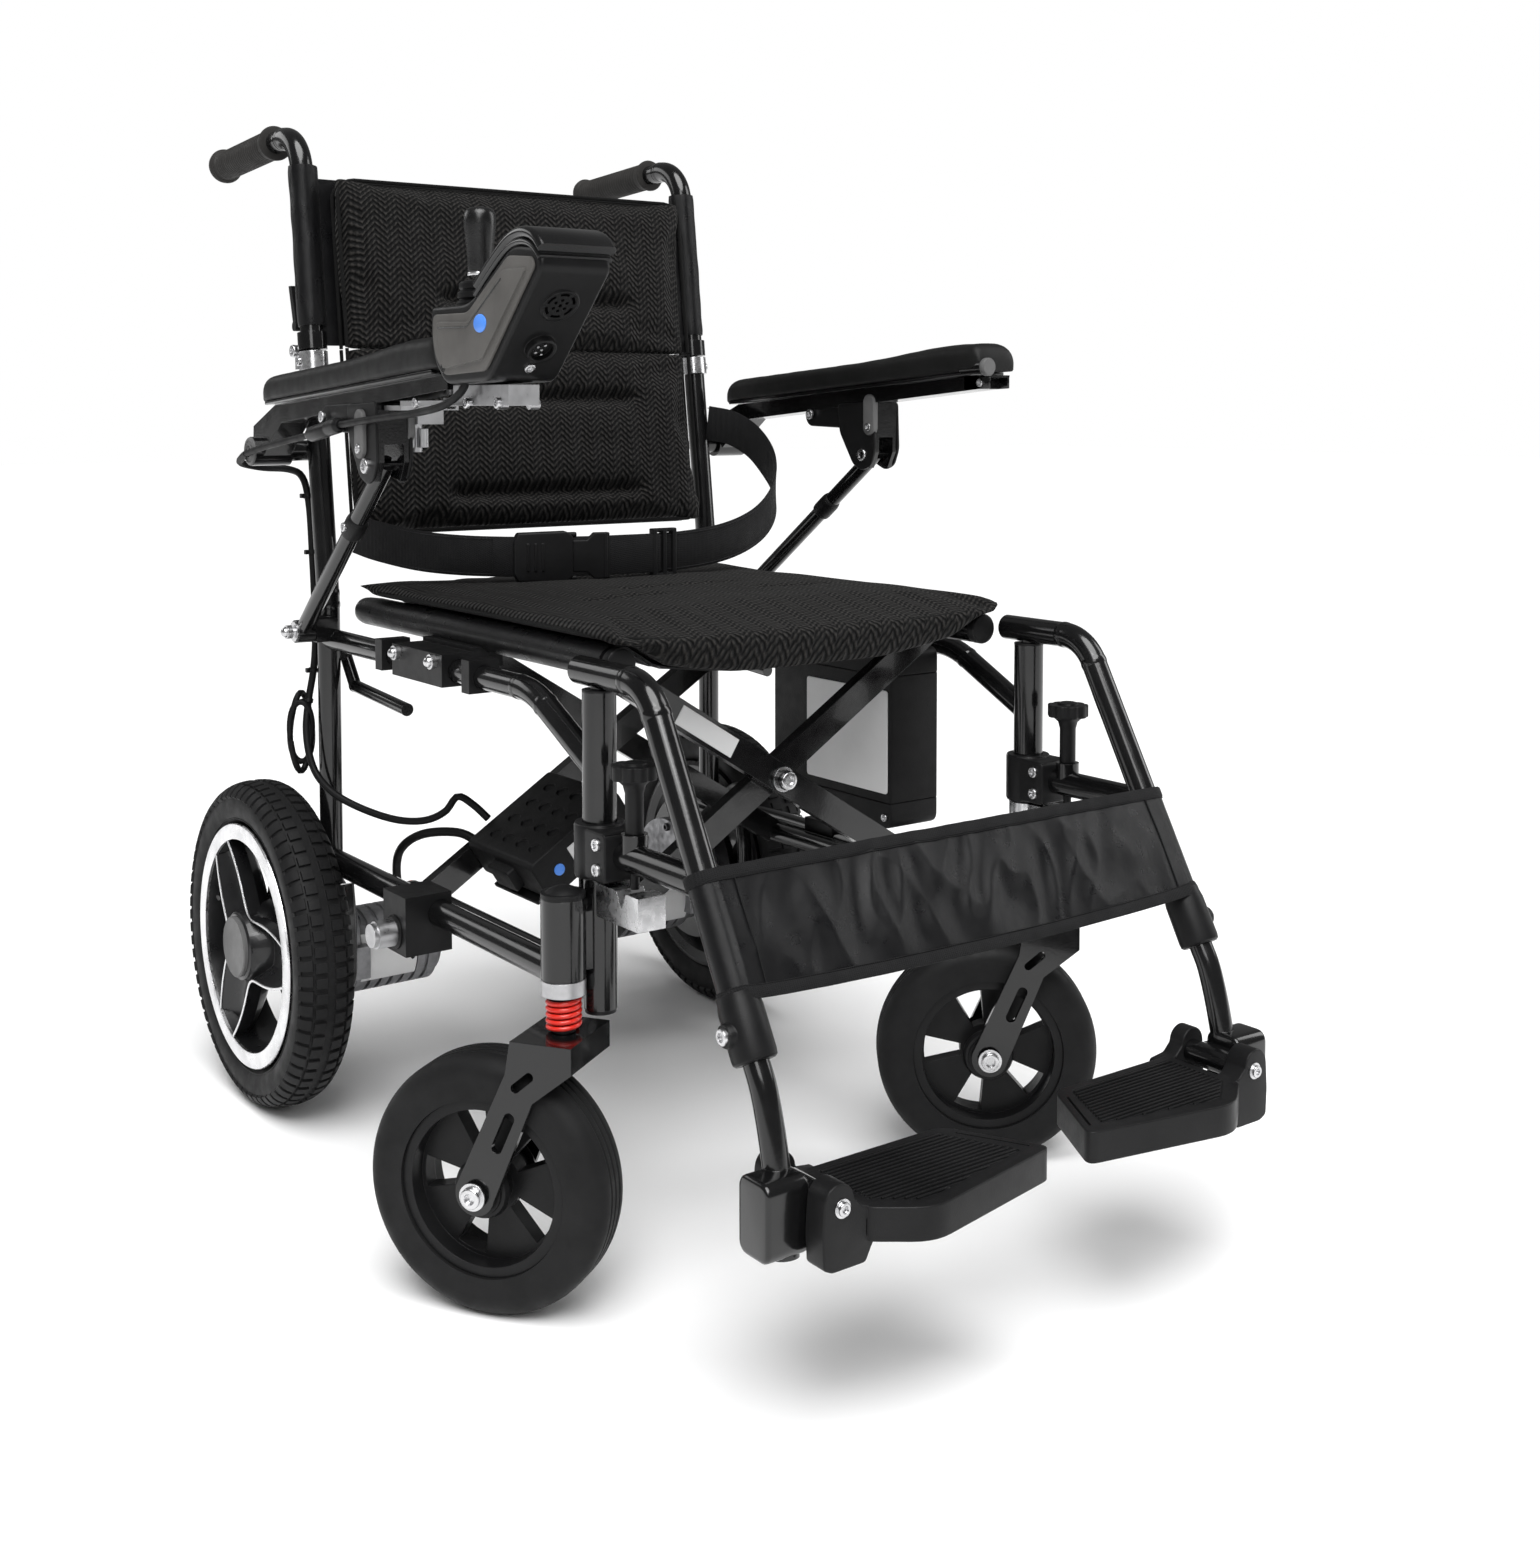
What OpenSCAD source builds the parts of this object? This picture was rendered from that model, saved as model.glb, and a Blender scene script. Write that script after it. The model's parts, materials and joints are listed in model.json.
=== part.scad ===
// Folding power wheelchair: two side frames joined by a double scissor of cross arms.
// X is across the chair (the user's right is -X), Y runs backwards, Z is up from the floor.
// The modules draw the right-hand side, and left() mirrors them.

/* [Frame] */
// Distance from the centre plane to the tubes of each side frame
frame_x = 224; // [222:0.5:225]
// Diameter of the main frame tubes
tube_d = 22; // [20:0.5:22]
// Diameter of the front posts
post_d = 26; // [24:0.5:26]
// Height of the lower rail's centre line
lower_rail_z = 244.5; // [243:0.5:246]
// Height of the upper side rail's centre line
upper_rail_z = 462; // [460:0.5:463]
// Front post's place along the chair
front_post_y = -250; // [-252:0.5:-249]
// Rear post's place along the chair
rear_post_y = 256; // [255:0.5:258]

/* [Folding cross] */
// Distance from the centre plane to the lower hinges of the cross arms
hinge_x = 203; // [202:0.5:204]
// Height of the lower hinges
hinge_z = 240; // [239:0.5:241]
// Distance from the centre plane to the seat rails
seat_rail_x = 190; // [188:0.5:190]
// Height of the seat rails
seat_rail_z = 488; // [487:0.5:489]

/* [Wheels] */
// Radius of the rear tyres
rear_r = 159; // [155:0.5:159]
// Width of the rear tyres
rear_w = 55; // [50:1:56]
// Rear axle's place along the chair
rear_y = 308; // [306:0.5:310]
// Radius of the caster tyres
caster_r = 100; // [98:0.5:100]
// Width of the caster tyres
caster_w = 50; // [44:1:50]
// Distance from the caster stem back to its axle
trail = 58; // [56:0.5:60]
// Way the right caster trails, from +X towards +Y
right_caster_angle = 124; // [90:1:150]
// Way the left caster trails, from +X towards +Y
left_caster_angle = 143; // [90:1:150]

/* [Rests] */
// Slope of the leg rest tubes below the horizontal
leg_slope = 61; // [60:0.5:62]
// Lean of the back posts behind the vertical
back_lean = 7; // [6.5:0.5:7.5]
// Length of the seat cushion
seat_l = 493; // [480:1:493]

/* [Hidden] */
$fn = 48;

gap = 0.1;                 // added to a bore's diameter for a running fit
clear = 0.5;               // space between parts that pass each other
bead = 1;                  // added to a tube's diameter by a weld bead
rail_d = 23;
side_rail_d = 20;
rod_d = 8;
pivot_z = hinge_z + hinge_x * (seat_rail_z - hinge_z) / (seat_rail_x + hinge_x);
arm_angle = atan((seat_rail_z - hinge_z) / (seat_rail_x + hinge_x));
arm_l = norm([seat_rail_x + hinge_x, seat_rail_z - hinge_z]);
arm_h = 24;
arm_t = 12;
barrel_front = -182;
barrel_rear = 111;
arm_a_y = [-167, 84];      // front faces of the arms that rise to the left rail
arm_b_y = [-181.5, 98.5];  // front faces of the arms that rise to the right rail
caster_x = 255;
caster_y = -248;
housing_d = 34;
housing_z = 261;
housing_top = 322;
stem_d = 12;
hanger_z = 487;
hanger_bend_y = -318;
clamp_z = 249;
sleeve_top_z = 284;
leg_d = 19;
heel = [-frame_x, -483, 128];
flip_x = 206;
flip_z = 167;
ears = [[-519, -501], [-457, -444]];
back_hinge_y = 301;
back_hinge_z = 741;
arm_pivot = [285, 644];    // armrest hinge, as [y, z]
strut_low = [239, 473];
strut_top = [22, 637];
stick = [-267, -148, 765];
link = [[-206, 262, 448], [-206, 236, 416], [-206, 120, 408]];
lead_d = 7;
lead_route = [
    [-232, 286, 628], [-232, 281, 590], [-232, 275, 545], [-232, 271, 500],
    [-232, 270, 460], [-234, 271, 430], [-240, 270, 400], [-246, 262, 375],
    [-247, 252, 350], [-243, 240, 330], [-232, 222, 314], [-214, 195, 302],
    [-196, 165, 296], [-180, 140, 298], [-168, 122, 308], [-158, 116, 322]
];

// ---------- helpers ----------

function way(a, b) = (b - a) / norm(b - a);
function turn(p, i) = acos(min(1, way(p[i - 1], p[i]) * way(p[i], p[i + 1])));
function setback(p, i, r) = (i == 0 || i == len(p) - 1) ? 0 : r * tan(turn(p, i) / 2);
// Point on the leaning back line at height z
function lean(z) = z < 500 ? rear_post_y : rear_post_y + (z - 500) * tan(back_lean);
// Point on the sloping part of the leg rest at height z
function slope_point(z) = [-frame_x, hanger_bend_y - (hanger_z - z) / tan(leg_slope), z];

module left() {
    mirror([1, 0, 0]) children();
}

module place(o, x, y) {
    z = cross(x, y);
    multmatrix([[x.x, y.x, z.x, o.x], [x.y, y.y, z.y, o.y], [x.z, y.z, z.z, o.z], [0, 0, 0, 1]])
        children();
}

// A round bar from a to b; seam turns it about its own axis
module rod(a, b, d, seam = 0) {
    z = way(a, b);
    side = abs(z.z) < 0.9 ? cross([0, 0, 1], z) : cross([1, 0, 0], z);
    x = side / norm(side);
    place(a, x, cross(z, x)) rotate(seam) cylinder(h = norm(b - a), d = d);
}

module elbow(a, c, b, d, r) {
    u = way(a, c);
    w = way(c, b);
    across = w - (u * w) * u;
    n = across / norm(across);
    angle = acos(u * w);
    place(c - u * r * tan(angle / 2) + n * r, -n, u)
        rotate_extrude(angle = angle) translate([r, 0]) circle(d = d);
}

// A bent tube through the points of p, with bends of radius r and a fine weld bead at each joint
module pipe(p, d, r, seam = 45) {
    for (i = [0 : len(p) - 2]) {
        w = way(p[i], p[i + 1]);
        from = p[i] + w * (i == 0 ? 0 : setback(p, i, r) + 1);
        to = p[i + 1] - w * (i == len(p) - 2 ? 0 : setback(p, i + 1, r) + 1);
        rod(from, to, d, seam);
        if (i > 0) translate(p[i] + w * setback(p, i, r)) sphere(d = d + bead);
        if (i < len(p) - 2) translate(p[i + 1] - w * setback(p, i + 1, r)) sphere(d = d + bead);
    }
    for (i = [1 : 1 : len(p) - 2])
        elbow(p[i - 1], p[i], p[i + 1], d, r);
}

// A tube with one slight kink at b, welded there
module kinked(a, b, c, d) {
    rod(a, b - way(a, b), d);
    rod(b + way(b, c), c, d);
    translate(b) sphere(d = d + bead);
}

// Extrudes an outline drawn as [y, z] from x0 to x1
module across(x0, x1) {
    translate([x0, 0, 0]) rotate([90, 0, 90]) linear_extrude(x1 - x0) children();
}

module x_cylinder(x0, x1, y, z, d) {
    rod([x0, y, z], [x1, y, z], d);
}

module y_cylinder(y0, y1, x, z, d) {
    rod([x, y0, z], [x, y1, z], d);
}

module box(low, high) {
    translate(low) cube(high - low);
}

module rounded(w, h, r) {
    square([w - 2 * r, h], center = true);
    square([w, h - 2 * r], center = true);
    for (x = [-1, 1], y = [-1, 1])
        translate([x * (w / 2 - r), y * (h / 2 - r)]) circle(r);
}

// A ring with one full window, repeated n times, for spoked wheels
module windows(n, r0, r1, w) {
    for (i = [0 : n - 1]) rotate(i * 360 / n) difference() {
        intersection() {
            circle(r1);
            polygon([[0, 0], [2 * r1, -w * r1], [2 * r1, w * r1]]);
        }
        circle(r0);
    }
}

// ---------- side frame ----------

module motor_plate_outline() {
    translate([rear_y, rear_r]) circle(d = 164);
    translate([rear_y - 60, rear_r]) square([80, lower_rail_z + 2 - rear_r]);
}

module hinge_lug(y0) {
    difference() {
        union() {
            y_cylinder(y0, y0 + 6, -hinge_x, hinge_z, 18);
            box([-frame_x, y0, hinge_z - 9], [-hinge_x, y0 + 6, hinge_z + 9]);
        }
        y_cylinder(y0 - 1, y0 + 7, -hinge_x, hinge_z, rod_d + gap);
    }
}

module knuckle(x0, x1, low) {
    z0 = low ? back_hinge_z - 18 : back_hinge_z;
    x_cylinder(x0, x1, back_hinge_y, back_hinge_z, 12);
    box([x0, back_hinge_y - 15, z0], [x1, back_hinge_y, z0 + 15]);
}

module side_frame() {
    rail_end = 330;
    difference() {
        union() {
            rod([-frame_x, front_post_y, lower_rail_z], [-frame_x, rail_end, lower_rail_z], rail_d);
            rod([-frame_x, front_post_y, 233], [-frame_x, front_post_y, 474], post_d);
            pipe([[-frame_x, rear_post_y, lower_rail_z], [-frame_x, rear_post_y, 500],
                [-frame_x, lean(735), 735]], tube_d, 90);
            pipe([[-frame_x, rear_post_y, upper_rail_z], [-frame_x, -150, upper_rail_z],
                [-frame_x, front_post_y, 412]], side_rail_d, 90);
            rod([-caster_x, caster_y, housing_z], [-caster_x, caster_y, housing_top], housing_d);
            box([-244, -257, 266], [-230, -242, 320]);
            across(-240, -232) motor_plate_outline();
            hinge_lug(barrel_front - 8);
            hinge_lug(barrel_rear + 2);
            box([-247, strut_low.x - 9, 462], [-226, rear_post_y, 484]);
            x_cylinder(-250, -frame_x, arm_pivot.x, arm_pivot.y, 20);
            x_cylinder(-291, -250, arm_pivot.x, arm_pivot.y, 12);
            kinked(link[0], link[1], link[2], 12);
            box([-224, 250, 440], [-206, 262, 456]);
        }
        rod([-frame_x, 270, lower_rail_z], [-frame_x, rail_end + 1, lower_rail_z], 19.5);
        rod([-frame_x, front_post_y, 439], [-frame_x, front_post_y, 475], 18 + gap);
        rod([-caster_x, caster_y, housing_z - 1], [-caster_x, caster_y, housing_top + 1], stem_d + gap);
        x_cylinder(-241, -231, rear_y, rear_r, 15 + gap);
        x_cylinder(-292, -287, arm_pivot.x, arm_pivot.y, 5);
    }
}

module side_frame_r() {
    color([0.03, 0.03, 0.03]) side_frame();
}

module side_frame_l() {
    color([0.03, 0.03, 0.03]) left() side_frame();
}

module frame_fittings() {
    color([0.09, 0.09, 0.09]) {
        // bushing in the top of the front post
        difference() {
            union() {
                rod([-frame_x, front_post_y, 440], [-frame_x, front_post_y, 474], 18);
                rod([-frame_x, front_post_y, 474], [-frame_x, front_post_y, 475.5], post_d);
            }
            rod([-frame_x, front_post_y, 439], [-frame_x, front_post_y, 476], 14 + gap);
        }
        // cap of the caster housing
        translate([-caster_x, caster_y, housing_top]) rotate_extrude() {
            square([housing_d / 2, 4]);
            intersection() {
                translate([0, -12]) circle(21);
                square([housing_d / 2, 12]);
            }
        }
        // cradle of the seat rail, clamped on the side rail
        difference() {
            union() {
                box([-240, -20, 449], [-209, 78, 477]);
                box([-210, -20, 463], [-182, 78, 481]);
            }
            y_cylinder(-21, 79, -frame_x, upper_rail_z, side_rail_d + gap);
            y_cylinder(-21, 79, -seat_rail_x, seat_rail_z, rail_d + 1.4);
        }
        // two clips on the side rail
        for (y = [-66, 104]) difference() {
            box([-238, y, 449], [-210, y + 14, 477]);
            y_cylinder(y - 1, y + 15, -frame_x, upper_rail_z, side_rail_d + gap);
        }
        // block of the freewheel knob
        difference() {
            box([-257, 20, 210], [-213, 65, 262]);
            y_cylinder(19, 66, -frame_x, lower_rail_z, rail_d + gap);
            x_cylinder(-258, -243, 42, 228, 12 + gap);
        }
        // plug in the lower end of the front post
        rod([-frame_x, front_post_y, 230], [-frame_x, front_post_y, 233], post_d - 2);
    }
}

module frame_fittings_r() {
    frame_fittings();
}

module frame_fittings_l() {
    left() frame_fittings();
}

module acorn_nut(x, y, z) {
    x_cylinder(x - 5, x, y, z, 13);
    difference() {
        translate([x - 5, y, z]) sphere(d = 10);
        box([x - 5, y - 6, z - 6], [x + 1, y + 6, z + 6]);
    }
}

module frame_hardware() {
    color([0.8, 0.8, 0.8]) {
        // hinge rod of the cross arm
        y_cylinder(barrel_front - 12, barrel_rear + 12, -hinge_x, hinge_z, rod_d);
        y_cylinder(barrel_front - 15, barrel_front - 12, -hinge_x, hinge_z, 14);
        y_cylinder(barrel_rear + 12, barrel_rear + 15, -hinge_x, hinge_z, 14);
        // pin and nut of the armrest strut
        x_cylinder(-269, -247, strut_low.x, strut_low.y, rod_d);
        acorn_nut(-269, strut_low.x, strut_low.y);
        // bolts of the rail cradle
        for (y = [-6, 65]) acorn_nut(-240, y, 470);
        // lock block of the leg rest
        difference() {
            union() {
                rod([-frame_x, front_post_y, 308], [-frame_x, front_post_y, 333], 34);
                box([-236, -322, 308], [-212, front_post_y, 333]);
            }
            rod([-frame_x, front_post_y, 307], [-frame_x, front_post_y, 334], post_d + gap);
            translate([-frame_x, -299, 308]) cylinder(h = 26, d = 9);
            across(-237, -211) polygon([[-306, 334], [-299, 320], [-292, 334]]);
            // open on the outer side, where the caster housing stands
            box([-242, -264, 307], [-230, -237, 334]);
        }
        // lower half of the back hinge, with its pin
        difference() {
            union() {
                difference() {
                    rod([-frame_x, lean(722), 722], [-frame_x, lean(740), 740], 28);
                    x_cylinder(-240, -208, back_hinge_y, back_hinge_z, 13);
                }
                knuckle(-236, -229, true);
                knuckle(-219, -212, true);
            }
            rod([-frame_x, lean(720), 720], [-frame_x, lean(742), 742], tube_d + gap);
        }
        x_cylinder(-237, -211, back_hinge_y, back_hinge_z, 5);
        // screws of the motor plate
        for (a = [-60, -130, 170, 60]) translate([-240, rear_y + 70 * cos(a), rear_r + 70 * sin(a)])
            rotate([0, -90, 0]) cylinder(h = 2, d = 10);
    }
}

module frame_hardware_r() {
    frame_hardware();
}

module frame_hardware_l() {
    left() frame_hardware();
}

// ---------- drive ----------

module motor() {
    can_y = rear_y - 12;
    can_z = rear_r - 20;
    color([0.45, 0.45, 0.46]) difference() {
        union() {
            x_cylinder(-232, -198, rear_y, rear_r, 116);
            x_cylinder(-198, -112, can_y, can_z, 84);
            x_cylinder(-112, -105, can_y, can_z, 70);
            box([-226, can_y - 52, can_z - 16], [-190, can_y, can_z + 16]);
        }
        for (x = [-186 : 12 : -126]) difference() {
            x_cylinder(x, x + 4, can_y, can_z, 90);
            x_cylinder(x - 1, x + 5, can_y, can_z, 78);
        }
        x_cylinder(-233, -204, rear_y, rear_r, 15 + gap);
    }
}

module motor_r() {
    motor();
}

module motor_l() {
    left() motor();
}

module wheel_axis(x, y, z) {
    translate([x, y, z]) rotate([0, -90, 0]) children();
}

module rear_tyre() {
    half = rear_w / 2;
    section_r = 22;
    mid_r = rear_r - section_r;
    color([0.12, 0.12, 0.12]) wheel_axis(-270, rear_y, rear_r) rotate_extrude($fn = 96) difference() {
        union() {
            translate([mid_r, half - section_r]) circle(section_r);
            translate([mid_r, section_r - half]) circle(section_r);
            translate([mid_r - section_r, section_r - half]) square([2 * section_r, 2 * (half - section_r)]);
        }
        translate([0, -40]) square([118, 80]);
    }
}

module rear_tyre_r() {
    rear_tyre();
}

module rear_tyre_l() {
    left() rear_tyre();
}

module rear_rim() {
    color([0.75, 0.75, 0.76]) difference() {
        union() {
            wheel_axis(-270, rear_y, rear_r) rotate_extrude($fn = 96)
                translate([104, -23]) square([13.9, 46]);
            wheel_axis(-278, rear_y, rear_r) linear_extrude(10) difference() {
                circle(106, $fn = 96);
                windows(5, 42, 94, 0.5);
            }
            x_cylinder(-301, -250, rear_y, rear_r, 64);
            x_cylinder(-305, -301, rear_y, rear_r, 59);
            x_cylinder(-250, -206, rear_y, rear_r, 15);
        }
        wheel_axis(-270, rear_y, rear_r) rotate_extrude() translate([33, -30]) square([10, 34]);
    }
}

module rear_rim_r() {
    rear_rim();
}

module rear_rim_l() {
    left() rear_rim();
}

module freewheel_knob() {
    color([0.7, 0.7, 0.7]) {
        x_cylinder(-258, -246, 42, 228, 12);
        x_cylinder(-276, -258, 42, 228, 24);
        x_cylinder(-280, -276, 42, 228, 21);
    }
}

module freewheel_knob_r() {
    freewheel_knob();
}

module freewheel_knob_l() {
    left() freewheel_knob();
}

// ---------- casters, drawn with the stem on the Z axis and the wheel trailing along +X ----------

module on_stem(side, angle) {
    translate([side * caster_x, caster_y, 0]) rotate(angle) children();
}

module caster_stem() {
    color([0.82, 0.82, 0.82]) {
        translate([0, 0, 207]) cylinder(h = 114, d = stem_d);
        translate([0, 0, 249]) cylinder(h = 11.5, d = housing_d);
    }
}

module caster_spring() {
    color([0.75, 0.06, 0.05]) translate([0, 0, 220.5]) rotate_extrude() {
        translate([7.5, 0]) square([4, 28]);
        for (i = [0 : 4]) translate([11.2, 3 + i * 5.5]) circle(2.6);
    }
}

module fork_plate_outline() {
    // drawn in the plane of the wheel as [x, z]
    difference() {
        union() {
            translate([trail, caster_r]) circle(16);
            polygon([[-22, 220], [28, 220], [32, 195], [trail + 15.5, caster_r + 5],
                [trail - 15, caster_r - 5], [10, 175], [-22, 200]]);
        }
        translate([34, 150]) rotate(-66) rounded(34, 9, 4.4);
        translate([18, 190]) rotate(-40) rounded(22, 7, 3.4);
    }
}

module caster_fork() {
    color([0.04, 0.04, 0.04]) {
        difference() {
            translate([-22, -34, 200]) cube([50, 68, 20]);
            translate([0, 0, 199]) cylinder(h = 22, d = stem_d + gap);
        }
        for (y = [-34, 29]) translate([0, y + 5, 0]) rotate([90, 0, 0]) linear_extrude(5)
            fork_plate_outline();
        translate([trail, -38, caster_r]) rotate([-90, 0, 0]) cylinder(h = 76, d = rod_d);
        for (y = [-38, 34]) translate([trail, y, caster_r]) rotate([-90, 0, 0]) cylinder(h = 4, d = 16);
    }
}

module caster_tyre() {
    corner = 16;
    color([0.13, 0.13, 0.13]) translate([trail, 0, caster_r]) rotate([90, 0, 0])
        rotate_extrude($fn = 96) difference() {
            union() {
                translate([68, -caster_w / 2]) square([caster_r - 68 - corner, caster_w]);
                translate([68, corner - caster_w / 2]) square([caster_r - 68, caster_w - 2 * corner]);
                for (s = [-1, 1]) translate([caster_r - corner, s * (caster_w / 2 - corner)])
                    circle(corner);
            }
            for (s = [-1, 0, 1]) translate([caster_r, s * 7]) circle(1.3);
        }
}

module caster_hub() {
    color([0.08, 0.08, 0.08]) translate([trail, 0, caster_r]) rotate([90, 0, 0]) difference() {
        union() {
            rotate_extrude($fn = 96) translate([60, -22]) square([7.9, 44]);
            translate([0, 0, -7]) linear_extrude(14) difference() {
                circle(62, $fn = 96);
                windows(5, 24, 57, 0.45);
            }
            translate([0, 0, -28]) cylinder(h = 56, d = 36);
        }
        translate([0, 0, -29]) cylinder(h = 58, d = rod_d + gap);
    }
}

module caster_stem_r() {
    on_stem(-1, right_caster_angle) caster_stem();
}

module caster_stem_l() {
    on_stem(1, left_caster_angle) caster_stem();
}

module caster_spring_r() {
    on_stem(-1, right_caster_angle) caster_spring();
}

module caster_spring_l() {
    on_stem(1, left_caster_angle) caster_spring();
}

module caster_fork_r() {
    on_stem(-1, right_caster_angle) caster_fork();
}

module caster_fork_l() {
    on_stem(1, left_caster_angle) caster_fork();
}

module caster_tyre_r() {
    on_stem(-1, right_caster_angle) caster_tyre();
}

module caster_tyre_l() {
    on_stem(1, left_caster_angle) caster_tyre();
}

module caster_hub_r() {
    on_stem(-1, right_caster_angle) caster_hub();
}

module caster_hub_l() {
    on_stem(1, left_caster_angle) caster_hub();
}

// ---------- leg rests ----------

module hanger_tube() {
    brace_z = 356;
    brace_end = slope_point(brace_z).y;
    color([0.03, 0.03, 0.03]) difference() {
        union() {
            pipe([[-frame_x, -222, hanger_z], [-frame_x, hanger_bend_y, hanger_z],
                slope_point(262)], tube_d, 40);
            rod([-frame_x, front_post_y, 442], [-frame_x, front_post_y, hanger_z], 14);
            rod([-frame_x, front_post_y - 12, brace_z], [-frame_x, brace_end, brace_z], tube_d);
            rod([-frame_x, front_post_y, 335], [-frame_x, front_post_y, 375], 38);
            box([-241, -285, 337], [-207, -255, 373]);
            rod([-frame_x, -299, brace_z], [-frame_x, -299, 375], 20);
            rod(slope_point(sleeve_top_z), slope_point(clamp_z), 29);
            translate(slope_point(267)) rotate([0, -90, 0]) cylinder(h = 18, d = 14);
        }
        rod([-frame_x, front_post_y, 334], [-frame_x, front_post_y, 376], post_d + 2 * gap);
        rod([-frame_x, -299, 335], [-frame_x, -299, 376], 7 + gap);
        rod(slope_point(clamp_z + 130), slope_point(clamp_z - 5), leg_d + gap);
    }
}

module hanger_tube_r() {
    hanger_tube();
}

module hanger_tube_l() {
    left() hanger_tube();
}

module latch_knob() {
    color([0.06, 0.06, 0.06]) {
        rod([-frame_x, -299, 334], [-frame_x, -299, 375.2], 7);
        rod([-frame_x, -299, 375.2], [-frame_x, -299, 417], 14);
        rod([-frame_x, -299, 413], [-frame_x, -299, 417], 26);
        rod([-frame_x, -299, 417], [-frame_x, -299, 425], 35);
    }
}

module latch_knob_r() {
    latch_knob();
}

module latch_knob_l() {
    left() latch_knob();
}

module leg_tube() {
    color([0.03, 0.03, 0.03]) difference() {
        union() {
            kinked(slope_point(clamp_z + 95), slope_point(226), heel, leg_d);
            box([-250, -498, 132], [-214, -464, 186]);
            y_cylinder(ears[0][1] + clear, ears[1][0] - clear, -flip_x, flip_z, 20);
            box([-216, -496, flip_z - 9], [-flip_x, -462, flip_z + 9]);
        }
        y_cylinder(-510, -450, -flip_x, flip_z, rod_d + gap);
    }
}

module leg_tube_r() {
    leg_tube();
}

module leg_tube_l() {
    left() leg_tube();
}

module footplate_outline() {
    difference() {
        polygon([[-212, -522], [-150, -549], [-18, -523], [-58, -449], [-212, -449]]);
        translate([-230, ears[0][1] - clear]) square([37, ears[1][0] - ears[0][1] + 2 * clear]);
    }
}

module footplate() {
    color([0.1, 0.1, 0.1]) {
        difference() {
            translate([0, 0, 143]) linear_extrude(22) footplate_outline();
            translate([0, 0, 142]) linear_extrude(16)
                polygon([[-186, -516], [-148, -540], [-32, -517], [-64, -456], [-186, -456]]);
        }
        for (i = [0 : 8]) box([-180, -512 + i * 6, 165], [-72, -509 + i * 6, 166.5]);
        for (e = ears) y_cylinder(e[0], e[1], -flip_x, flip_z, 28);
        y_cylinder(ears[0][0] - 4, ears[1][1], -flip_x, flip_z, rod_d);
        y_cylinder(ears[0][0] - 4, ears[0][0], -flip_x, flip_z, 14);
    }
}

module footplate_r() {
    footplate();
}

module footplate_l() {
    left() footplate();
}

module calf_strap() {
    top = slope_point(354);
    low = slope_point(290);
    // its faces lie 12 and 14.5 in front of the tubes' centre lines
    near = 12 * [-sin(leg_slope), cos(leg_slope)];
    far = 14.5 * [-sin(leg_slope), cos(leg_slope)];
    color([0.04, 0.04, 0.04]) across(-238, 238) polygon([
        [top.y, top.z] + far, [top.y, top.z] + near, [low.y, low.z] + near, [low.y, low.z] + far]);
}

// ---------- armrests ----------

// Height of the armrest's underside at y, rising to the front
function arm_z(y) = 688 + (250 - y) * tan(4);

module arm_rail(front) {
    color([0.05, 0.05, 0.05]) difference() {
        union() {
            x_cylinder(-288, -251, arm_pivot.x, arm_pivot.y, 28);
            across(-281, -254) polygon([[298, 640], [271, 640], [225, 672], [front, arm_z(front) - 13],
                [front, arm_z(front) - 0.2], [240, arm_z(240) - 0.2], [296, 668]]);
            across(-285, -255) polygon([[4, 690], [62, 688], [58, 660], [36, 628], [12, 624], [4, 640]]);
        }
        x_cylinder(-300, -250, arm_pivot.x, arm_pivot.y, 12 + gap);
        across(-279, -261) polygon([[-1, 654], [-1, 618], [80, 618], [80, 654], [40, 664]]);
    }
    color([0.8, 0.8, 0.8]) x_cylinder(-287, -253, strut_top.x, strut_top.y, rod_d);
    color([0.5, 0.5, 0.5]) x_cylinder(-288, -285, 31, 664, 16);
}

module arm_rail_r() {
    arm_rail(-118);
}

module arm_rail_l() {
    left() arm_rail(-150);
}

module arm_pad(front) {
    color([0.07, 0.07, 0.07]) across(-292, -242) polygon([[250, arm_z(250)], [front, arm_z(front)],
        [front - 2, arm_z(front) + 20], [front + 8, arm_z(front) + 27], [240, arm_z(240) + 27],
        [252, arm_z(252) + 18]]);
}

module arm_pad_r() {
    arm_pad(-118);
}

module arm_pad_l() {
    left() arm_pad(-160);
}

module arm_strut() {
    way_up = [-270, strut_top.x, strut_top.y];
    root = [-257, strut_low.x, strut_low.y];
    color([0.03, 0.03, 0.03]) difference() {
        union() {
            rod(root, way_up + 4 * way(root, way_up), 16);
            x_cylinder(-265, -248, strut_low.x, strut_low.y, 22);
            rod(root + 170 * way(root, way_up), root + 190 * way(root, way_up), 19);
        }
        x_cylinder(-266, -247, strut_low.x, strut_low.y, rod_d + gap);
        // open cradle that the armrest's bolt rests in
        x_cylinder(-290, -250, strut_top.x, strut_top.y, rod_d + 1);
        place([-270, strut_top.x, strut_top.y], [1, 0, 0], [0, -0.72, 0.694])
            translate([-12, 0, -(rod_d + 1) / 2]) cube([24, 20, rod_d + 1]);
    }
}

module arm_strut_r() {
    arm_strut();
}

module arm_strut_l() {
    left() arm_strut();
}

// ---------- back ----------

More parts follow.
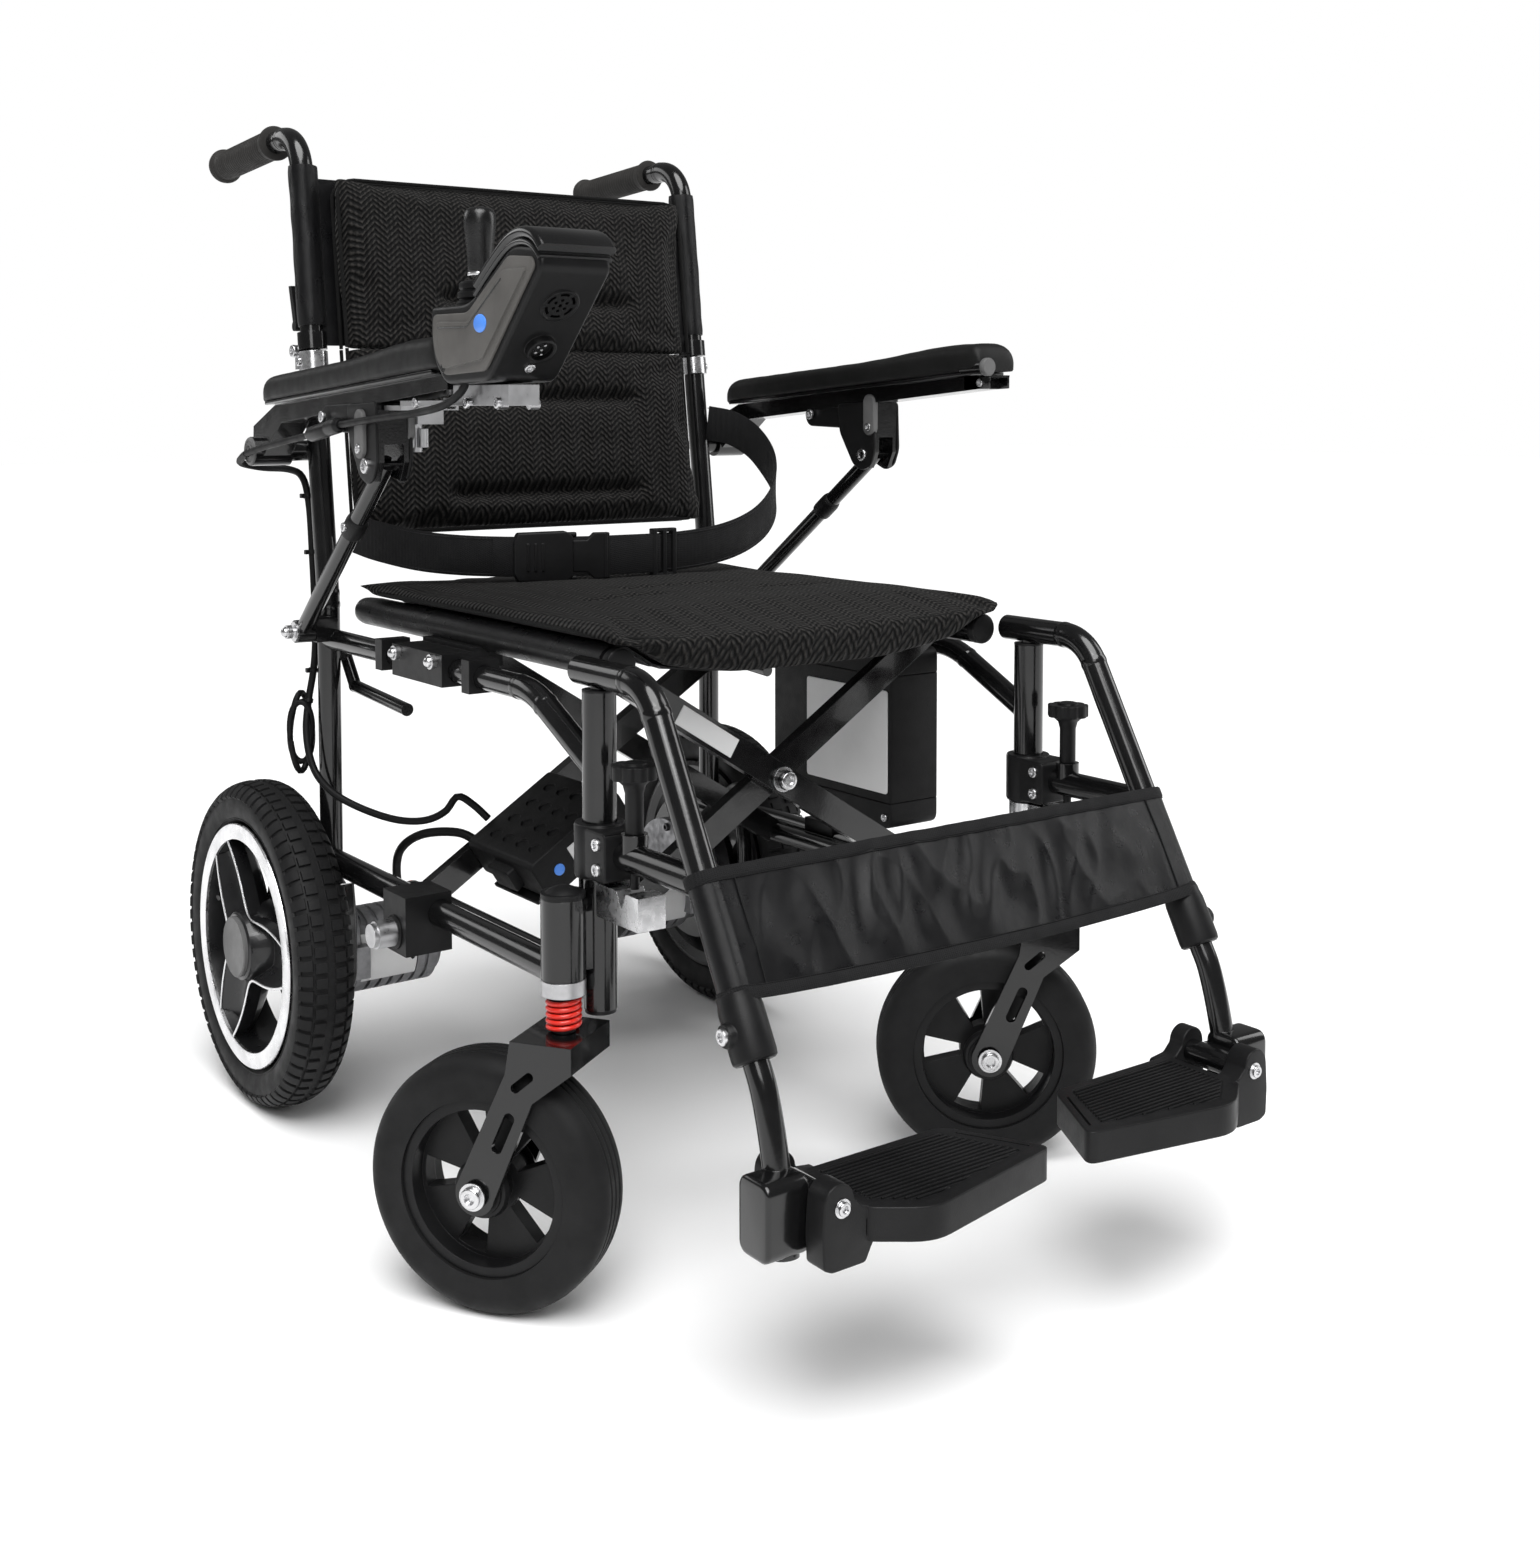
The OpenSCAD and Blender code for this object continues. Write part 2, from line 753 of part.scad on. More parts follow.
module back_tube() {
    top = [-frame_x, lean(956), 956];
    grip_end = [-frame_x, 512, 944];
    color([0.03, 0.03, 0.03]) {
        difference() {
            union() {
                pipe([[-frame_x, lean(744), 744], top, grip_end], tube_d, 42, 0);
                rod([-frame_x, lean(742), 742], [-frame_x, lean(759), 759], 28);
            }
            x_cylinder(-240, -208, back_hinge_y, back_hinge_z, 13);
        }
        difference() {
            knuckle(-228.5, -219.5, false);
            x_cylinder(-229, -219, back_hinge_y, back_hinge_z, 5 + gap);
        }
        box([-228, back_hinge_y - 6, 750], [-220, back_hinge_y + 6, 759]);
    }
}

module back_tube_r() {
    back_tube();
}

module back_tube_l() {
    left() back_tube();
}

module grip() {
    grip_start = 372;
    along = [0, 512 - lean(956), -12] / norm([512 - lean(956), 12]);
    start = [-frame_x, lean(956), 956] + along * (grip_start - lean(956));
    color([0.15, 0.15, 0.15]) difference() {
        union() {
            rod(start, start + along * 148, 30);
            for (i = [0 : 6]) rod(start + along * (20 + 18 * i), start + along * (26 + 18 * i), 31);
        }
        rod(start - along, start + along * 141, tube_d + gap);
    }
}

module grip_r() {
    grip();
}

module grip_l() {
    left() grip();
}

module back_lever() {
    color([0.06, 0.06, 0.06]) {
        x_cylinder(-232, -216, back_hinge_y + 12, 766, 10);
        across(-231, -217) polygon([[309, 766], [317, 766], [328, 806], [321, 806]]);
    }
}

module back_lever_r() {
    back_lever();
}

module back_lever_l() {
    left() back_lever();
}

// Moves a panel drawn upright at the seat's rear so that it leans with the back tubes
module leaning() {
    translate([0, rear_post_y, 500]) rotate([-back_lean, 0, 0]) children();
}

hinge_h = (back_hinge_z - 500) / cos(back_lean);

module back_sling() {
    color([0.05, 0.05, 0.05]) {
        leaning() box([-209, -4, hinge_h + 4], [209, -2, 420]);
        for (s = [-1, 1]) leaning() translate([s * frame_x, 0, 0]) difference() {
            translate([0, 0, hinge_h + 24]) cylinder(h = 146, d = 26);
            translate([0, 0, hinge_h + 23]) cylinder(h = 148, d = tube_d + 0.6);
        }
    }
}

module back_cushion_upper() {
    color([0.06, 0.06, 0.06]) leaning() box([-209, -36, hinge_h + 0.7], [209, -5, 418]);
}

module back_cushion_lower() {
    color([0.06, 0.06, 0.06]) leaning() box([-209, -36, 52], [209, -5, hinge_h - 4]);
}

// ---------- folding cross ----------

module cross_arm_solid(fronts, rail_side) {
    // drawn with the lower hinge at [-hinge_x, hinge_z] and rising towards +X
    for (y = fronts) translate([-hinge_x, y, hinge_z]) rotate([0, -arm_angle, 0])
        translate([6, 0, -arm_h / 2]) cube([arm_l - 14, arm_t, arm_h]);
    y_cylinder(barrel_front, barrel_rear, -hinge_x, hinge_z, 19);
    y_cylinder(-219, 240, seat_rail_x, seat_rail_z, rail_d);
    y_cylinder(-227, -219, seat_rail_x, seat_rail_z, rail_d + 3);
    y_cylinder(240, 243, seat_rail_x, seat_rail_z, rail_d + 2);
}

module cross_arm_a() {
    color([0.03, 0.03, 0.03]) {
        difference() {
            cross_arm_solid(arm_a_y);
            y_cylinder(barrel_front - 1, barrel_rear + 1, -hinge_x, hinge_z, rod_d + gap);
        }
        // pivot bolts of the two crosses
        y_cylinder(arm_b_y[0] - 6, arm_a_y[0] + 2, 0, pivot_z, rod_d);
        y_cylinder(arm_b_y[0] - 6, arm_b_y[0] - 0.2, 0, pivot_z, 17);
        y_cylinder(arm_a_y[1] + 2, arm_b_y[1] + arm_t + 6, 0, pivot_z, rod_d);
        y_cylinder(arm_b_y[1] + arm_t + 0.2, arm_b_y[1] + arm_t + 6, 0, pivot_z, 17);
    }
}

module cross_arm_b() {
    color([0.03, 0.03, 0.03]) left() difference() {
        cross_arm_solid(arm_b_y);
        y_cylinder(barrel_front - 1, barrel_rear + 1, -hinge_x, hinge_z, rod_d + gap);
        for (y = arm_b_y) y_cylinder(y - 1, y + arm_t + 1, 0, pivot_z, rod_d + gap);
    }
}

// ---------- seat ----------

module along_seat(y0, y1) {
    translate([0, y1, 0]) rotate([90, 0, 0]) linear_extrude(y1 - y0) children();
}

module seat_sling() {
    color([0.05, 0.05, 0.05]) along_seat(-214, 238) polygon([
        [-202, 500], [-180, 500], [-150, 481], [-70, 472], [70, 472], [150, 481], [180, 500], [202, 500],
        [202, 502.3], [179, 502.3], [149, 483.3], [70, 474.3], [-70, 474.3], [-149, 483.3],
        [-179, 502.3], [-202, 502.3]]);
}

module seat_cushion() {
    color([0.06, 0.06, 0.06]) along_seat(243 - seat_l, 243) polygon([
        [-216, 503.4], [-178, 503.4], [-148, 484.4], [-70, 475.4], [70, 475.4], [148, 484.4],
        [178, 503.4], [216, 503.4], [216, 520], [100, 518], [-100, 518], [-216, 520]]);
}

module lap_belt() {
    belt_low = 524;
    belt_h = 40;
    route = [[-206, 196], [-160, 128], [-60, 92], [60, 104], [150, 146], [205, 196]];
    color([0.03, 0.03, 0.03]) {
        for (i = [0 : len(route) - 2]) {
            a = route[i];
            b = route[i + 1];
            n = [a.y - b.y, b.x - a.x] / norm(b - a);
            translate([0, 0, belt_low]) linear_extrude(belt_h) polygon([a, b, b + 2 * n, a + 2 * n]);
        }
        // buckle and slider
        translate([-110, 103, belt_low - 3]) rotate(-20) cube([62, 12, 46]);
        translate([-8, 90, belt_low - 2]) rotate(6) cube([20, 8, 44]);
    }
}

// ---------- power ----------

module battery_pack() {
    color([0.05, 0.05, 0.05]) {
        box([147, -150, 297], [205, 30, 463]);
        for (y = [-120, -20]) box([205, y, 300], [211, y + 24, 330]);
    }
    color([0.8, 0.8, 0.8]) for (y = [-140, -66, 20], z = [306, 454])
        x_cylinder(144.5, 147, y, z, 7);
}

module controller_box() {
    // lies along the right half of the left-rising arms
    color([0.06, 0.06, 0.06]) translate([-hinge_x, 0, hinge_z]) rotate([0, -arm_angle, 0]) {
        difference() {
            box([56, -36, -20], [162, 84, 20]);
            for (i = [0 : 3], j = [0 : 3]) translate([76 + i * 22, -16 + j * 24, 18.5])
                cylinder(h = 3, d = 12);
        }
        box([50, -20, -23], [168, 60, -20]);
    }
}

module joystick_housing() {
    color([0.08, 0.08, 0.08]) difference() {
        union() {
            across(-298, -240) polygon([[-124, 740], [-128, 723], [-147, 704], [-218, 706],
                [-297, 783], [-290, 797], [-254, 803], [-185, 764], [-124, 764]]);
            translate([stick.x, stick.y, 762]) cylinder(h = 8, d = 37);
            translate([stick.x, stick.y, 770]) cylinder(h = 8, d = 35);
            translate([stick.x, stick.y, 778]) cylinder(h = 8, d = 33);
        }
        translate([stick.x, stick.y, 752]) cylinder(h = 60, d = 29);
    }
}

module joystick_gimbal() {
    color([0.6, 0.6, 0.6]) {
        translate(stick) difference() {
            cylinder(h = 6, d = 22, center = true);
            cylinder(h = 7, d = 14, center = true);
        }
        // trunnions on the pitch axis
        x_cylinder(stick.x - 13, stick.x - 9, stick.y, stick.z, 4);
        x_cylinder(stick.x + 9, stick.x + 13, stick.y, stick.z, 4);
    }
}

module joystick_stick() {
    // pivots on the roll axis
    color([0.04, 0.04, 0.04]) y_cylinder(stick.y - 6.5, stick.y + 6.5, stick.x, stick.z, 3);
    color([0.04, 0.04, 0.04]) translate(stick) {
        sphere(d = 12);
        cylinder(h = 28, d = 8);
        translate([0, 0, 25]) rotate_extrude() {
            square([9.5, 8]);
            polygon([[0, 8], [9.5, 8], [12.5, 38], [0, 38]]);
            intersection() {
                translate([0, 38]) circle(12.5);
                translate([0, 38]) square([13, 13]);
            }
        }
    }
}

module joystick_bracket() {
    rail_z = arm_z(-30) - 15.6;
    color([0.75, 0.75, 0.75]) {
        box([-280, -216, rail_z - 4], [-254, -30, rail_z]);
        box([-280, -216, rail_z], [-254, -126, 703.8]);
        box([-252, 8, 672], [-228, 40, 676]);
        box([-280, -32, rail_z - 8], [-228, 1, rail_z - 4]);
        box([-252, -4, 672], [-228, 12, rail_z - 4]);
        for (y = [-200, -150, -60]) translate([-248, y, rail_z - 3]) rotate([0, 90, 0])
            translate([0, 0, -6]) cylinder(h = 8, d = 8);
    }
    color([0.05, 0.05, 0.05]) {
        translate([-241, 24, 648]) cylinder(h = 24, d = 12);
        translate([-241, 24, 652]) for (a = [0 : 72 : 359]) rotate(a) translate([8, 0, 0])
            cylinder(h = 16, d = 8);
    }
    color([0.5, 0.5, 0.5]) rod([-291, 70, 671], [-291, 132, 662], 11);
}

module joystick_lead() {
    sides = 8;
    rings = [for (i = [0 : len(lead_route) - 1])
        let (
            ahead = lead_route[min(i + 1, len(lead_route) - 1)],
            behind = lead_route[max(i - 1, 0)],
            t = way(behind, ahead),
            n = cross(t, [1, 0, 0]) / norm(cross(t, [1, 0, 0])),
            m = cross(t, n)
        )
        for (k = [0 : sides - 1])
            lead_route[i] + lead_d / 2 * (n * cos(k * 360 / sides) + m * sin(k * 360 / sides))];
    last = len(rings) - sides;
    faces = concat(
        [for (i = [0 : len(lead_route) - 2], k = [0 : sides - 1])
            [i * sides + k, (i + 1) * sides + k, (i + 1) * sides + (k + 1) % sides,
                i * sides + (k + 1) % sides]],
        [[for (k = [0 : sides - 1]) k]],
        [[for (k = [sides - 1 : -1 : 0]) last + k]]);
    color([0.04, 0.04, 0.04]) polyhedron(rings, faces);
}

side_frame_r();
side_frame_l();
frame_fittings_r();
frame_fittings_l();
frame_hardware_r();
frame_hardware_l();
motor_r();
motor_l();
rear_tyre_r();
rear_tyre_l();
rear_rim_r();
rear_rim_l();
freewheel_knob_r();
freewheel_knob_l();
caster_stem_r();
caster_stem_l();
caster_spring_r();
caster_spring_l();
caster_fork_r();
caster_fork_l();
caster_tyre_r();
caster_tyre_l();
caster_hub_r();
caster_hub_l();
hanger_tube_r();
hanger_tube_l();
latch_knob_r();
latch_knob_l();
leg_tube_r();
leg_tube_l();
footplate_r();
footplate_l();
arm_rail_r();
arm_rail_l();
arm_pad_r();
arm_pad_l();
arm_strut_r();
arm_strut_l();
back_tube_r();
back_tube_l();
grip_r();
grip_l();
back_lever_r();
back_lever_l();
cross_arm_a();
cross_arm_b();
seat_sling();
seat_cushion();
back_sling();
back_cushion_upper();
back_cushion_lower();
calf_strap();
lap_belt();
battery_pack();
controller_box();
joystick_housing();
joystick_gimbal();
joystick_stick();
joystick_bracket();
joystick_lead();
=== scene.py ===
"""A folding power wheelchair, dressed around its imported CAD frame."""
import json
import math

import bmesh
import bpy
import numpy as np
from mathutils import Matrix, Vector, noise


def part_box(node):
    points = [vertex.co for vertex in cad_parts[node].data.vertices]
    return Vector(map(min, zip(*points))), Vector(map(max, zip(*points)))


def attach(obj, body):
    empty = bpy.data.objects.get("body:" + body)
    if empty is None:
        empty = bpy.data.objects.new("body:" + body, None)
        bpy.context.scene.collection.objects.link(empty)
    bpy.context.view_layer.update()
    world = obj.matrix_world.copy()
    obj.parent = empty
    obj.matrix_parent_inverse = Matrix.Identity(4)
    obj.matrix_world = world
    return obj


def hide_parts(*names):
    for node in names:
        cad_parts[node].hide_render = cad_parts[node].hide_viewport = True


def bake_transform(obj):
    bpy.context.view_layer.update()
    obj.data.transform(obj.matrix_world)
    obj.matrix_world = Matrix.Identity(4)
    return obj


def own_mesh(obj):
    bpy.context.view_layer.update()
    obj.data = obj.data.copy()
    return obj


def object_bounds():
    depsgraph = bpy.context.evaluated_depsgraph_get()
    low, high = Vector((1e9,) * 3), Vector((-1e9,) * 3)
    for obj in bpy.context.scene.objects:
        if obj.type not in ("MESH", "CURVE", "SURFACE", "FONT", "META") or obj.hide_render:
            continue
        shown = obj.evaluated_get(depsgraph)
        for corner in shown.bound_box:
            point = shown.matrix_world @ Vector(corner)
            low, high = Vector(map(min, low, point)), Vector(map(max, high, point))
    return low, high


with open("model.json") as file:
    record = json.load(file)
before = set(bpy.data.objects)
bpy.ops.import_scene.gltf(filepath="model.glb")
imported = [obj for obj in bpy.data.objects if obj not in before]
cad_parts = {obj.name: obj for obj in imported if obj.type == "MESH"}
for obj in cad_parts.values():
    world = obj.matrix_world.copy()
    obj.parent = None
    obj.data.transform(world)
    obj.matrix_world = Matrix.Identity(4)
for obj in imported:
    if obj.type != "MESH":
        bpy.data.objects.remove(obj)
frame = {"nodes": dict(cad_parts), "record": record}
cad_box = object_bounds()
NODES = frame["nodes"]

MM = 0.001
UP = Vector((0, 0, 1))
OUT = Vector((-1, 0, 0))                 # outward on the right side
FRONT = Vector((0, -1, 0))
BACK_LEAN = math.radians(7)
BACK_FOOT = Vector((0, 0.256, 0.5))      # where the back posts start to lean
BACK_HINGE = Vector((0, 0.301, 0.741))
POST_X = 0.224
LATCH_AT = (-POST_X, -0.299, 0)
FRONT_POST_AT = (-POST_X, -0.25, 0)
FOOT_HINGE_AT = (-0.206, 0, 0.167)
ARM_TILT = math.atan(0.248 / 0.393)      # slope of the cross arms from their lower hinges
ARM_HINGE = Vector((0.203, 0, 0.240))


# ---------- camera, light and floor ----------

def linked(name, data):
    """A new object in the scene."""
    made = bpy.data.objects.new(name, data)
    bpy.context.scene.collection.objects.link(made)
    return made


def make_camera():
    data = bpy.data.cameras.new("camera")
    data.lens = 42.9
    data.sensor_width = 36
    data.shift_x = -0.0011
    data.shift_y = -0.1755
    camera = linked("camera", data)
    camera.location = (-0.9346, -1.4285, 0.6897)
    camera.rotation_euler = (math.radians(90 - 3.017), 0.00067, math.radians(-36.504))
    bpy.context.scene.camera = camera


def area_light(name, place, target, size, power):
    data = bpy.data.lights.new(name, "AREA")
    data.shape = "RECTANGLE"
    data.size, data.size_y = size
    data.energy = power
    lamp = linked(name, data)
    lamp.location = place
    lamp.rotation_euler = (Vector(target) - Vector(place)).to_track_quat("-Z", "Y").to_euler()


def make_studio():
    sun = bpy.data.lights.new("soft_sun", "SUN")
    sun.energy = 3.6
    sun.angle = math.radians(48)
    linked("soft_sun", sun).rotation_euler = (math.radians(24), math.radians(-14), 0)
    area_light("key", (-1.7, -2.3, 2.3), (0, 0, 0.45), (1.2, 1.8), 30)
    area_light("side", (2.4, -0.9, 1.7), (0, 0, 0.5), (1.0, 2.0), 20)
    area_light("rear", (-1.4, 2.4, 1.9), (0, 0, 0.6), (1.6, 1.0), 9)
    # the open background is white, and lights the chair less than it shows
    world = bpy.data.worlds.new("studio")
    bpy.context.scene.world = world
    world.use_nodes = True
    tree = world.node_tree
    background = tree.nodes["Background"]
    background.inputs["Color"].default_value = (1, 1, 1, 1)
    seen = tree.nodes.new("ShaderNodeLightPath").outputs["Is Camera Ray"]
    level = tree.nodes.new("ShaderNodeMapRange")
    level.inputs["To Min"].default_value = 0.15
    level.inputs["To Max"].default_value = 1.0
    tree.links.new(seen, level.inputs["Value"])
    tree.links.new(level.outputs["Result"], background.inputs["Strength"])
    bpy.context.scene.view_settings.view_transform = "Standard"


# ---------- materials ----------

class Finish:
    """A procedural material around one Principled shader, measured in metres on the piece."""

    def __init__(self, name, **sockets):
        self.material = bpy.data.materials.new(name)
        self.material.use_nodes = True
        self.tree = self.material.node_tree
        self.shader = self.tree.nodes["Principled BSDF"]
        for socket, value in sockets.items():
            self.shader.inputs[socket.replace("_", " ")].default_value = value
        self.place = self.tree.nodes.new("ShaderNodeTexCoord").outputs["Object"]
        self.normal = None

    def node(self, kind, inputs=(), **settings):
        made = self.tree.nodes.new(kind)
        for key, value in settings.items():
            setattr(made, key, value)
        for key, value in dict(inputs).items():
            if isinstance(value, bpy.types.NodeSocket):
                self.tree.links.new(value, made.inputs[key])
            else:
                made.inputs[key].default_value = value
        return made

    def stretched(self, factors):
        return self.node("ShaderNodeMapping", {"Vector": self.place, "Scale": factors}).outputs[0]

    def noise(self, scale, detail=3.0, roughness=0.55, at=None):
        return self.node("ShaderNodeTexNoise", {"Vector": at or self.place, "Scale": scale,
                                                "Detail": detail, "Roughness": roughness}).outputs["Fac"]

    def cells(self, scale, at=None):
        inputs = {"Vector": at or self.place, "Scale": scale}
        return self.node("ShaderNodeTexVoronoi", inputs).outputs["Distance"]

    def math(self, operation, a, b=0.0):
        return self.node("ShaderNodeMath", {0: a, 1: b, 2: 0.0}, operation=operation).outputs[0]

    def axes(self):
        return self.node("ShaderNodeSeparateXYZ", {"Vector": self.place}).outputs

    def spread(self, value, low, high, start=0.3, stop=0.7):
        """Maps value, from start to stop, onto low to high."""
        inputs = {"Value": value, "From Min": start, "From Max": stop, "To Min": low, "To Max": high}
        return self.node("ShaderNodeMapRange", inputs).outputs["Result"]

    def tones(self, value, colours, start=0.3, stop=0.7):
        ramp = self.node("ShaderNodeValToRGB", {"Fac": value})
        stops = ramp.color_ramp.elements
        while len(stops) < len(colours):
            stops.new(0.5)
        for i, colour in enumerate(colours):
            stops[i].position = start + (stop - start) * i / (len(colours) - 1)
            stops[i].color = (*colour, 1)
        return ramp.outputs["Color"]

    def use(self, socket, value):
        self.tree.links.new(value, self.shader.inputs[socket])

    def bump(self, height, distance, strength=1.0):
        inputs = {"Height": height, "Distance": distance, "Strength": strength}
        if self.normal:
            inputs["Normal"] = self.normal
        self.normal = self.node("ShaderNodeBump", inputs).outputs["Normal"]
        self.use("Normal", self.normal)
        return self

    def round_edges(self, radius):
        self.normal = self.node("ShaderNodeBevel", {"Radius": radius}, samples=4).outputs["Normal"]
        self.use("Normal", self.normal)
        return self


def painted(name, tone, rough, coat=0.3):
    """Powder coat or enamel: fine orange peel, a little dust and uneven gloss."""
    f = Finish(name, Coat_Weight=coat, Coat_Roughness=0.06, Specular_IOR_Level=0.4)
    f.round_edges(0.0008)
    light = [min(1, c * 1.4 + 0.002) for c in tone]
    f.use("Base Color", f.tones(f.noise(14, 4), (tone, light)))
    f.use("Roughness", f.spread(f.noise(55, 5), rough * 0.8, rough * 1.35))
    return f.bump(f.noise(420, 2), 0.00012, 0.35).material


def moulded(name, tone, rough, grain=1400, depth=0.00012, gloss=0.18):
    """Moulded plastic or foam skin: pebbled grain, paler rubbed patches."""
    f = Finish(name, Specular_IOR_Level=gloss)
    f.round_edges(0.001)
    light = [min(c * 1.45 + 0.002, c + 0.04) for c in tone]
    f.use("Base Color", f.tones(f.noise(22, 5), (tone, light)))
    f.use("Roughness", f.spread(f.noise(90, 4), rough * 0.88, rough * 1.12))
    f.bump(f.cells(grain), depth, 0.5)
    return f.bump(f.noise(30, 3), 0.0003, 0.12).material


def metal(name, tone, rough, grain=500, depth=0.00004):
    """Bare or plated metal: drawn or cast grain, stains and small scratches."""
    f = Finish(name, Metallic=1.0)
    f.round_edges(0.0006)
    dull = [c * 0.72 for c in tone]
    f.use("Base Color", f.tones(f.noise(35, 5), (dull, tone)))
    f.use("Roughness", f.spread(f.noise(120, 5), rough * 0.75, rough * 1.5))
    return f.bump(f.noise(grain, 4), depth, 0.6).material


def rubber(name, tone, rough=0.72, grain=900):
    f = Finish(name, Specular_IOR_Level=0.16)
    f.round_edges(0.0008)
    dusty = [c * 1.5 + 0.003 for c in tone]
    f.use("Base Color", f.tones(f.noise(18, 6, 0.65), (tone, dusty), 0.35, 0.8))
    f.use("Roughness", f.spread(f.noise(60, 4), rough - 0.08, rough + 0.12))
    f.bump(f.noise(grain, 3), 0.00015, 0.5)
    return f.bump(f.cells(240), 0.0001, 0.25).material


def woven(name, tone, light, pitch, depth, ribs=False, rough=0.75, gloss=0.2):
    """Plain weave or ribbed webbing: threads cross along X and along Y or Z."""
    f = Finish(name, Sheen_Weight=0.03, Sheen_Roughness=0.4, Specular_IOR_Level=gloss)
    x, y, z = f.axes()
    along = f.math("ADD", y, z)
    warp = f.math("SINE", f.math("MULTIPLY", x, math.tau / pitch))
    weft = f.math("SINE", f.math("MULTIPLY", along, math.tau / pitch))
    threads = f.math("MAXIMUM", warp, weft) if ribs else f.math("MULTIPLY", warp, weft)
    level = f.math("ADD", f.spread(threads, 0, 1, -1, 1), f.math("MULTIPLY", f.noise(35, 5), 0.5))
    f.use("Base Color", f.tones(level, (tone, light), 0.1, 1.2))
    f.use("Roughness", f.spread(f.noise(60, 4), rough - 0.06, rough + 0.1))
    f.bump(threads, depth, 0.6)
    return f.bump(f.noise(140, 4), 0.0006, 0.3).material


def air_mesh(name, tone, light):
    """Spacer fabric knitted in a herringbone, with small open cells."""
    f = Finish(name, Sheen_Weight=0.04, Sheen_Roughness=0.5, Specular_IOR_Level=0.12)
    pitch, zigzag = 0.0068, 0.024
    x, y, z = f.axes()
    along = f.math("ADD", y, z)
    slant = f.math("PINGPONG", x, zigzag / 2)
    rows = f.math("SINE", f.math("MULTIPLY", f.math("ADD", along, slant), math.tau / pitch))
    columns = f.math("SINE", f.math("MULTIPLY", x, math.tau / (pitch * 0.7)))
    knit = f.math("ADD", f.math("MULTIPLY", rows, 0.7), f.math("MULTIPLY", columns, 0.3))
    holes = f.cells(520, at=f.stretched((1, 0.8, 0.8)))
    # the colour is lighter on the knit's crowns, a painted highlight for the yarn's glints, and darker in
    # the recessed open cells, painted shade
    level = f.math("ADD", f.spread(knit, 0, 0.8, -1, 1), f.math("MULTIPLY", holes, 0.35))
    f.use("Base Color", f.tones(level, (tone, tone, light), 0.1, 1.0))
    f.use("Roughness", f.spread(f.noise(70, 4), 0.62, 0.85))
    f.bump(knit, 0.0011, 0.8)
    f.bump(holes, 0.0003, 0.4)
    return f.bump(f.noise(60, 4), 0.0012, 0.25).material


def floor_finish():
    f = Finish("floor", Specular_IOR_Level=0.0)
    f.use("Base Color", f.tones(f.noise(1.2, 3), ((0.945, 0.945, 0.946), (0.955, 0.955, 0.956))))
    f.use("Roughness", f.spread(f.noise(9, 4), 0.5, 0.65))
    return f.bump(f.noise(300, 3), 0.0002, 0.1).material


BLACK = (0.003, 0.003, 0.0032)

LOOKS = {}


def grey(level, blue=0):
    """A grey with a trace of blue."""
    return level, level, level + blue


def look(kind, name, *values, **more):
    LOOKS[name] = kind(name, *values, **more)


look(painted, "black_tube", BLACK, 0.16)
look(moulded, "satin_black_plastic", grey(0.005, 0.0003), 0.4)
look(metal, "bright_hardware", grey(0.72, 0.01), 0.24)
look(metal, "grey_casting", grey(0.34, 0.01), 0.5, grain=700, depth=0.0002)
look(rubber, "tyre_rubber", grey(0.008, 0.0003), 0.55)
look(painted, "rear_rim_alloy", grey(0.005, 0.0005), 0.3)
look(metal, "silver_metal", grey(0.55, 0.01), 0.33, grain=900)
look(painted, "red_spring", (0.55, 0.02, 0.012), 0.26, coat=0.4)
look(moulded, "caster_hub_plastic", grey(0.006, 0.0003), 0.36)
look(moulded, "footplate_plastic", grey(0.006, 0.0003), 0.4, grain=1000)
look(moulded, "arm_pad_foam", grey(0.006), 0.5, grain=1100, depth=0.0002)
look(rubber, "grip_rubber", (0.022, 0.021, 0.02), 0.55, 1200)
look(woven, "sling_nylon", grey(0.0015, 0.0005), grey(0.004, 0.0005), 0.0011, 0.00008, rough=0.3,
     gloss=0.24)
# the pale second tone of the cushion mesh is the knit's painted highlight
look(air_mesh, "cushion_mesh", grey(0.0008, 0.0001), (0.03, 0.028, 0.026))
look(woven, "belt_webbing", grey(0.0015, 0.0005), grey(0.007, 0.0005), 0.0018, 0.0003, ribs=True)
look(moulded, "battery_case", grey(0.004, 0.0003), 0.5, grain=900, depth=0.0002)
look(moulded, "controller_case", grey(0.005, 0.0003), 0.48, grain=800, depth=0.0002)
look(moulded, "joystick_case", grey(0.004, 0.0002), 0.34, grain=1300)
look(moulded, "stick_rubber", grey(0.003, 0.0002), 0.26, gloss=0.5)
look(rubber, "cable_sheath", grey(0.004, 0.0002), 0.5, 800)
look(metal, "rim_silver", grey(0.86, 0.01), 0.28, grain=300)
look(woven, "thread", grey(0.006, 0.0005), grey(0.03, 0.002), 0.0012, 0.0003)
look(woven, "piping", grey(0.002), grey(0.008), 0.0009, 0.0002, gloss=0.1)
look(moulded, "label", grey(0.72), 0.4, grain=2000, depth=0.00003)
look(painted, "blue_dot", (0.06, 0.22, 0.7), 0.3)
look(moulded, "grey_plastic", grey(0.1), 0.4)
look(metal, "dark_bolt", grey(0.09, 0.005), 0.35)
look(moulded, "panel_grey", (0.075, 0.072, 0.068), 0.36, grain=1600)
look(moulded, "orange_part", (0.5, 0.07, 0.02), 0.45)


def dress_cad():
    """Each CAD node takes the finish of its slot, and is shaded smooth up to its edges."""
    slots = {}
    for entry in frame["record"]["subparts"]:
        slots[entry["node"]] = entry["material_slot"]
    for name, node in NODES.items():
        node.data.materials.clear()
        node.data.materials.append(LOOKS[slots[name]])
        smooth_by_angle(node.data)


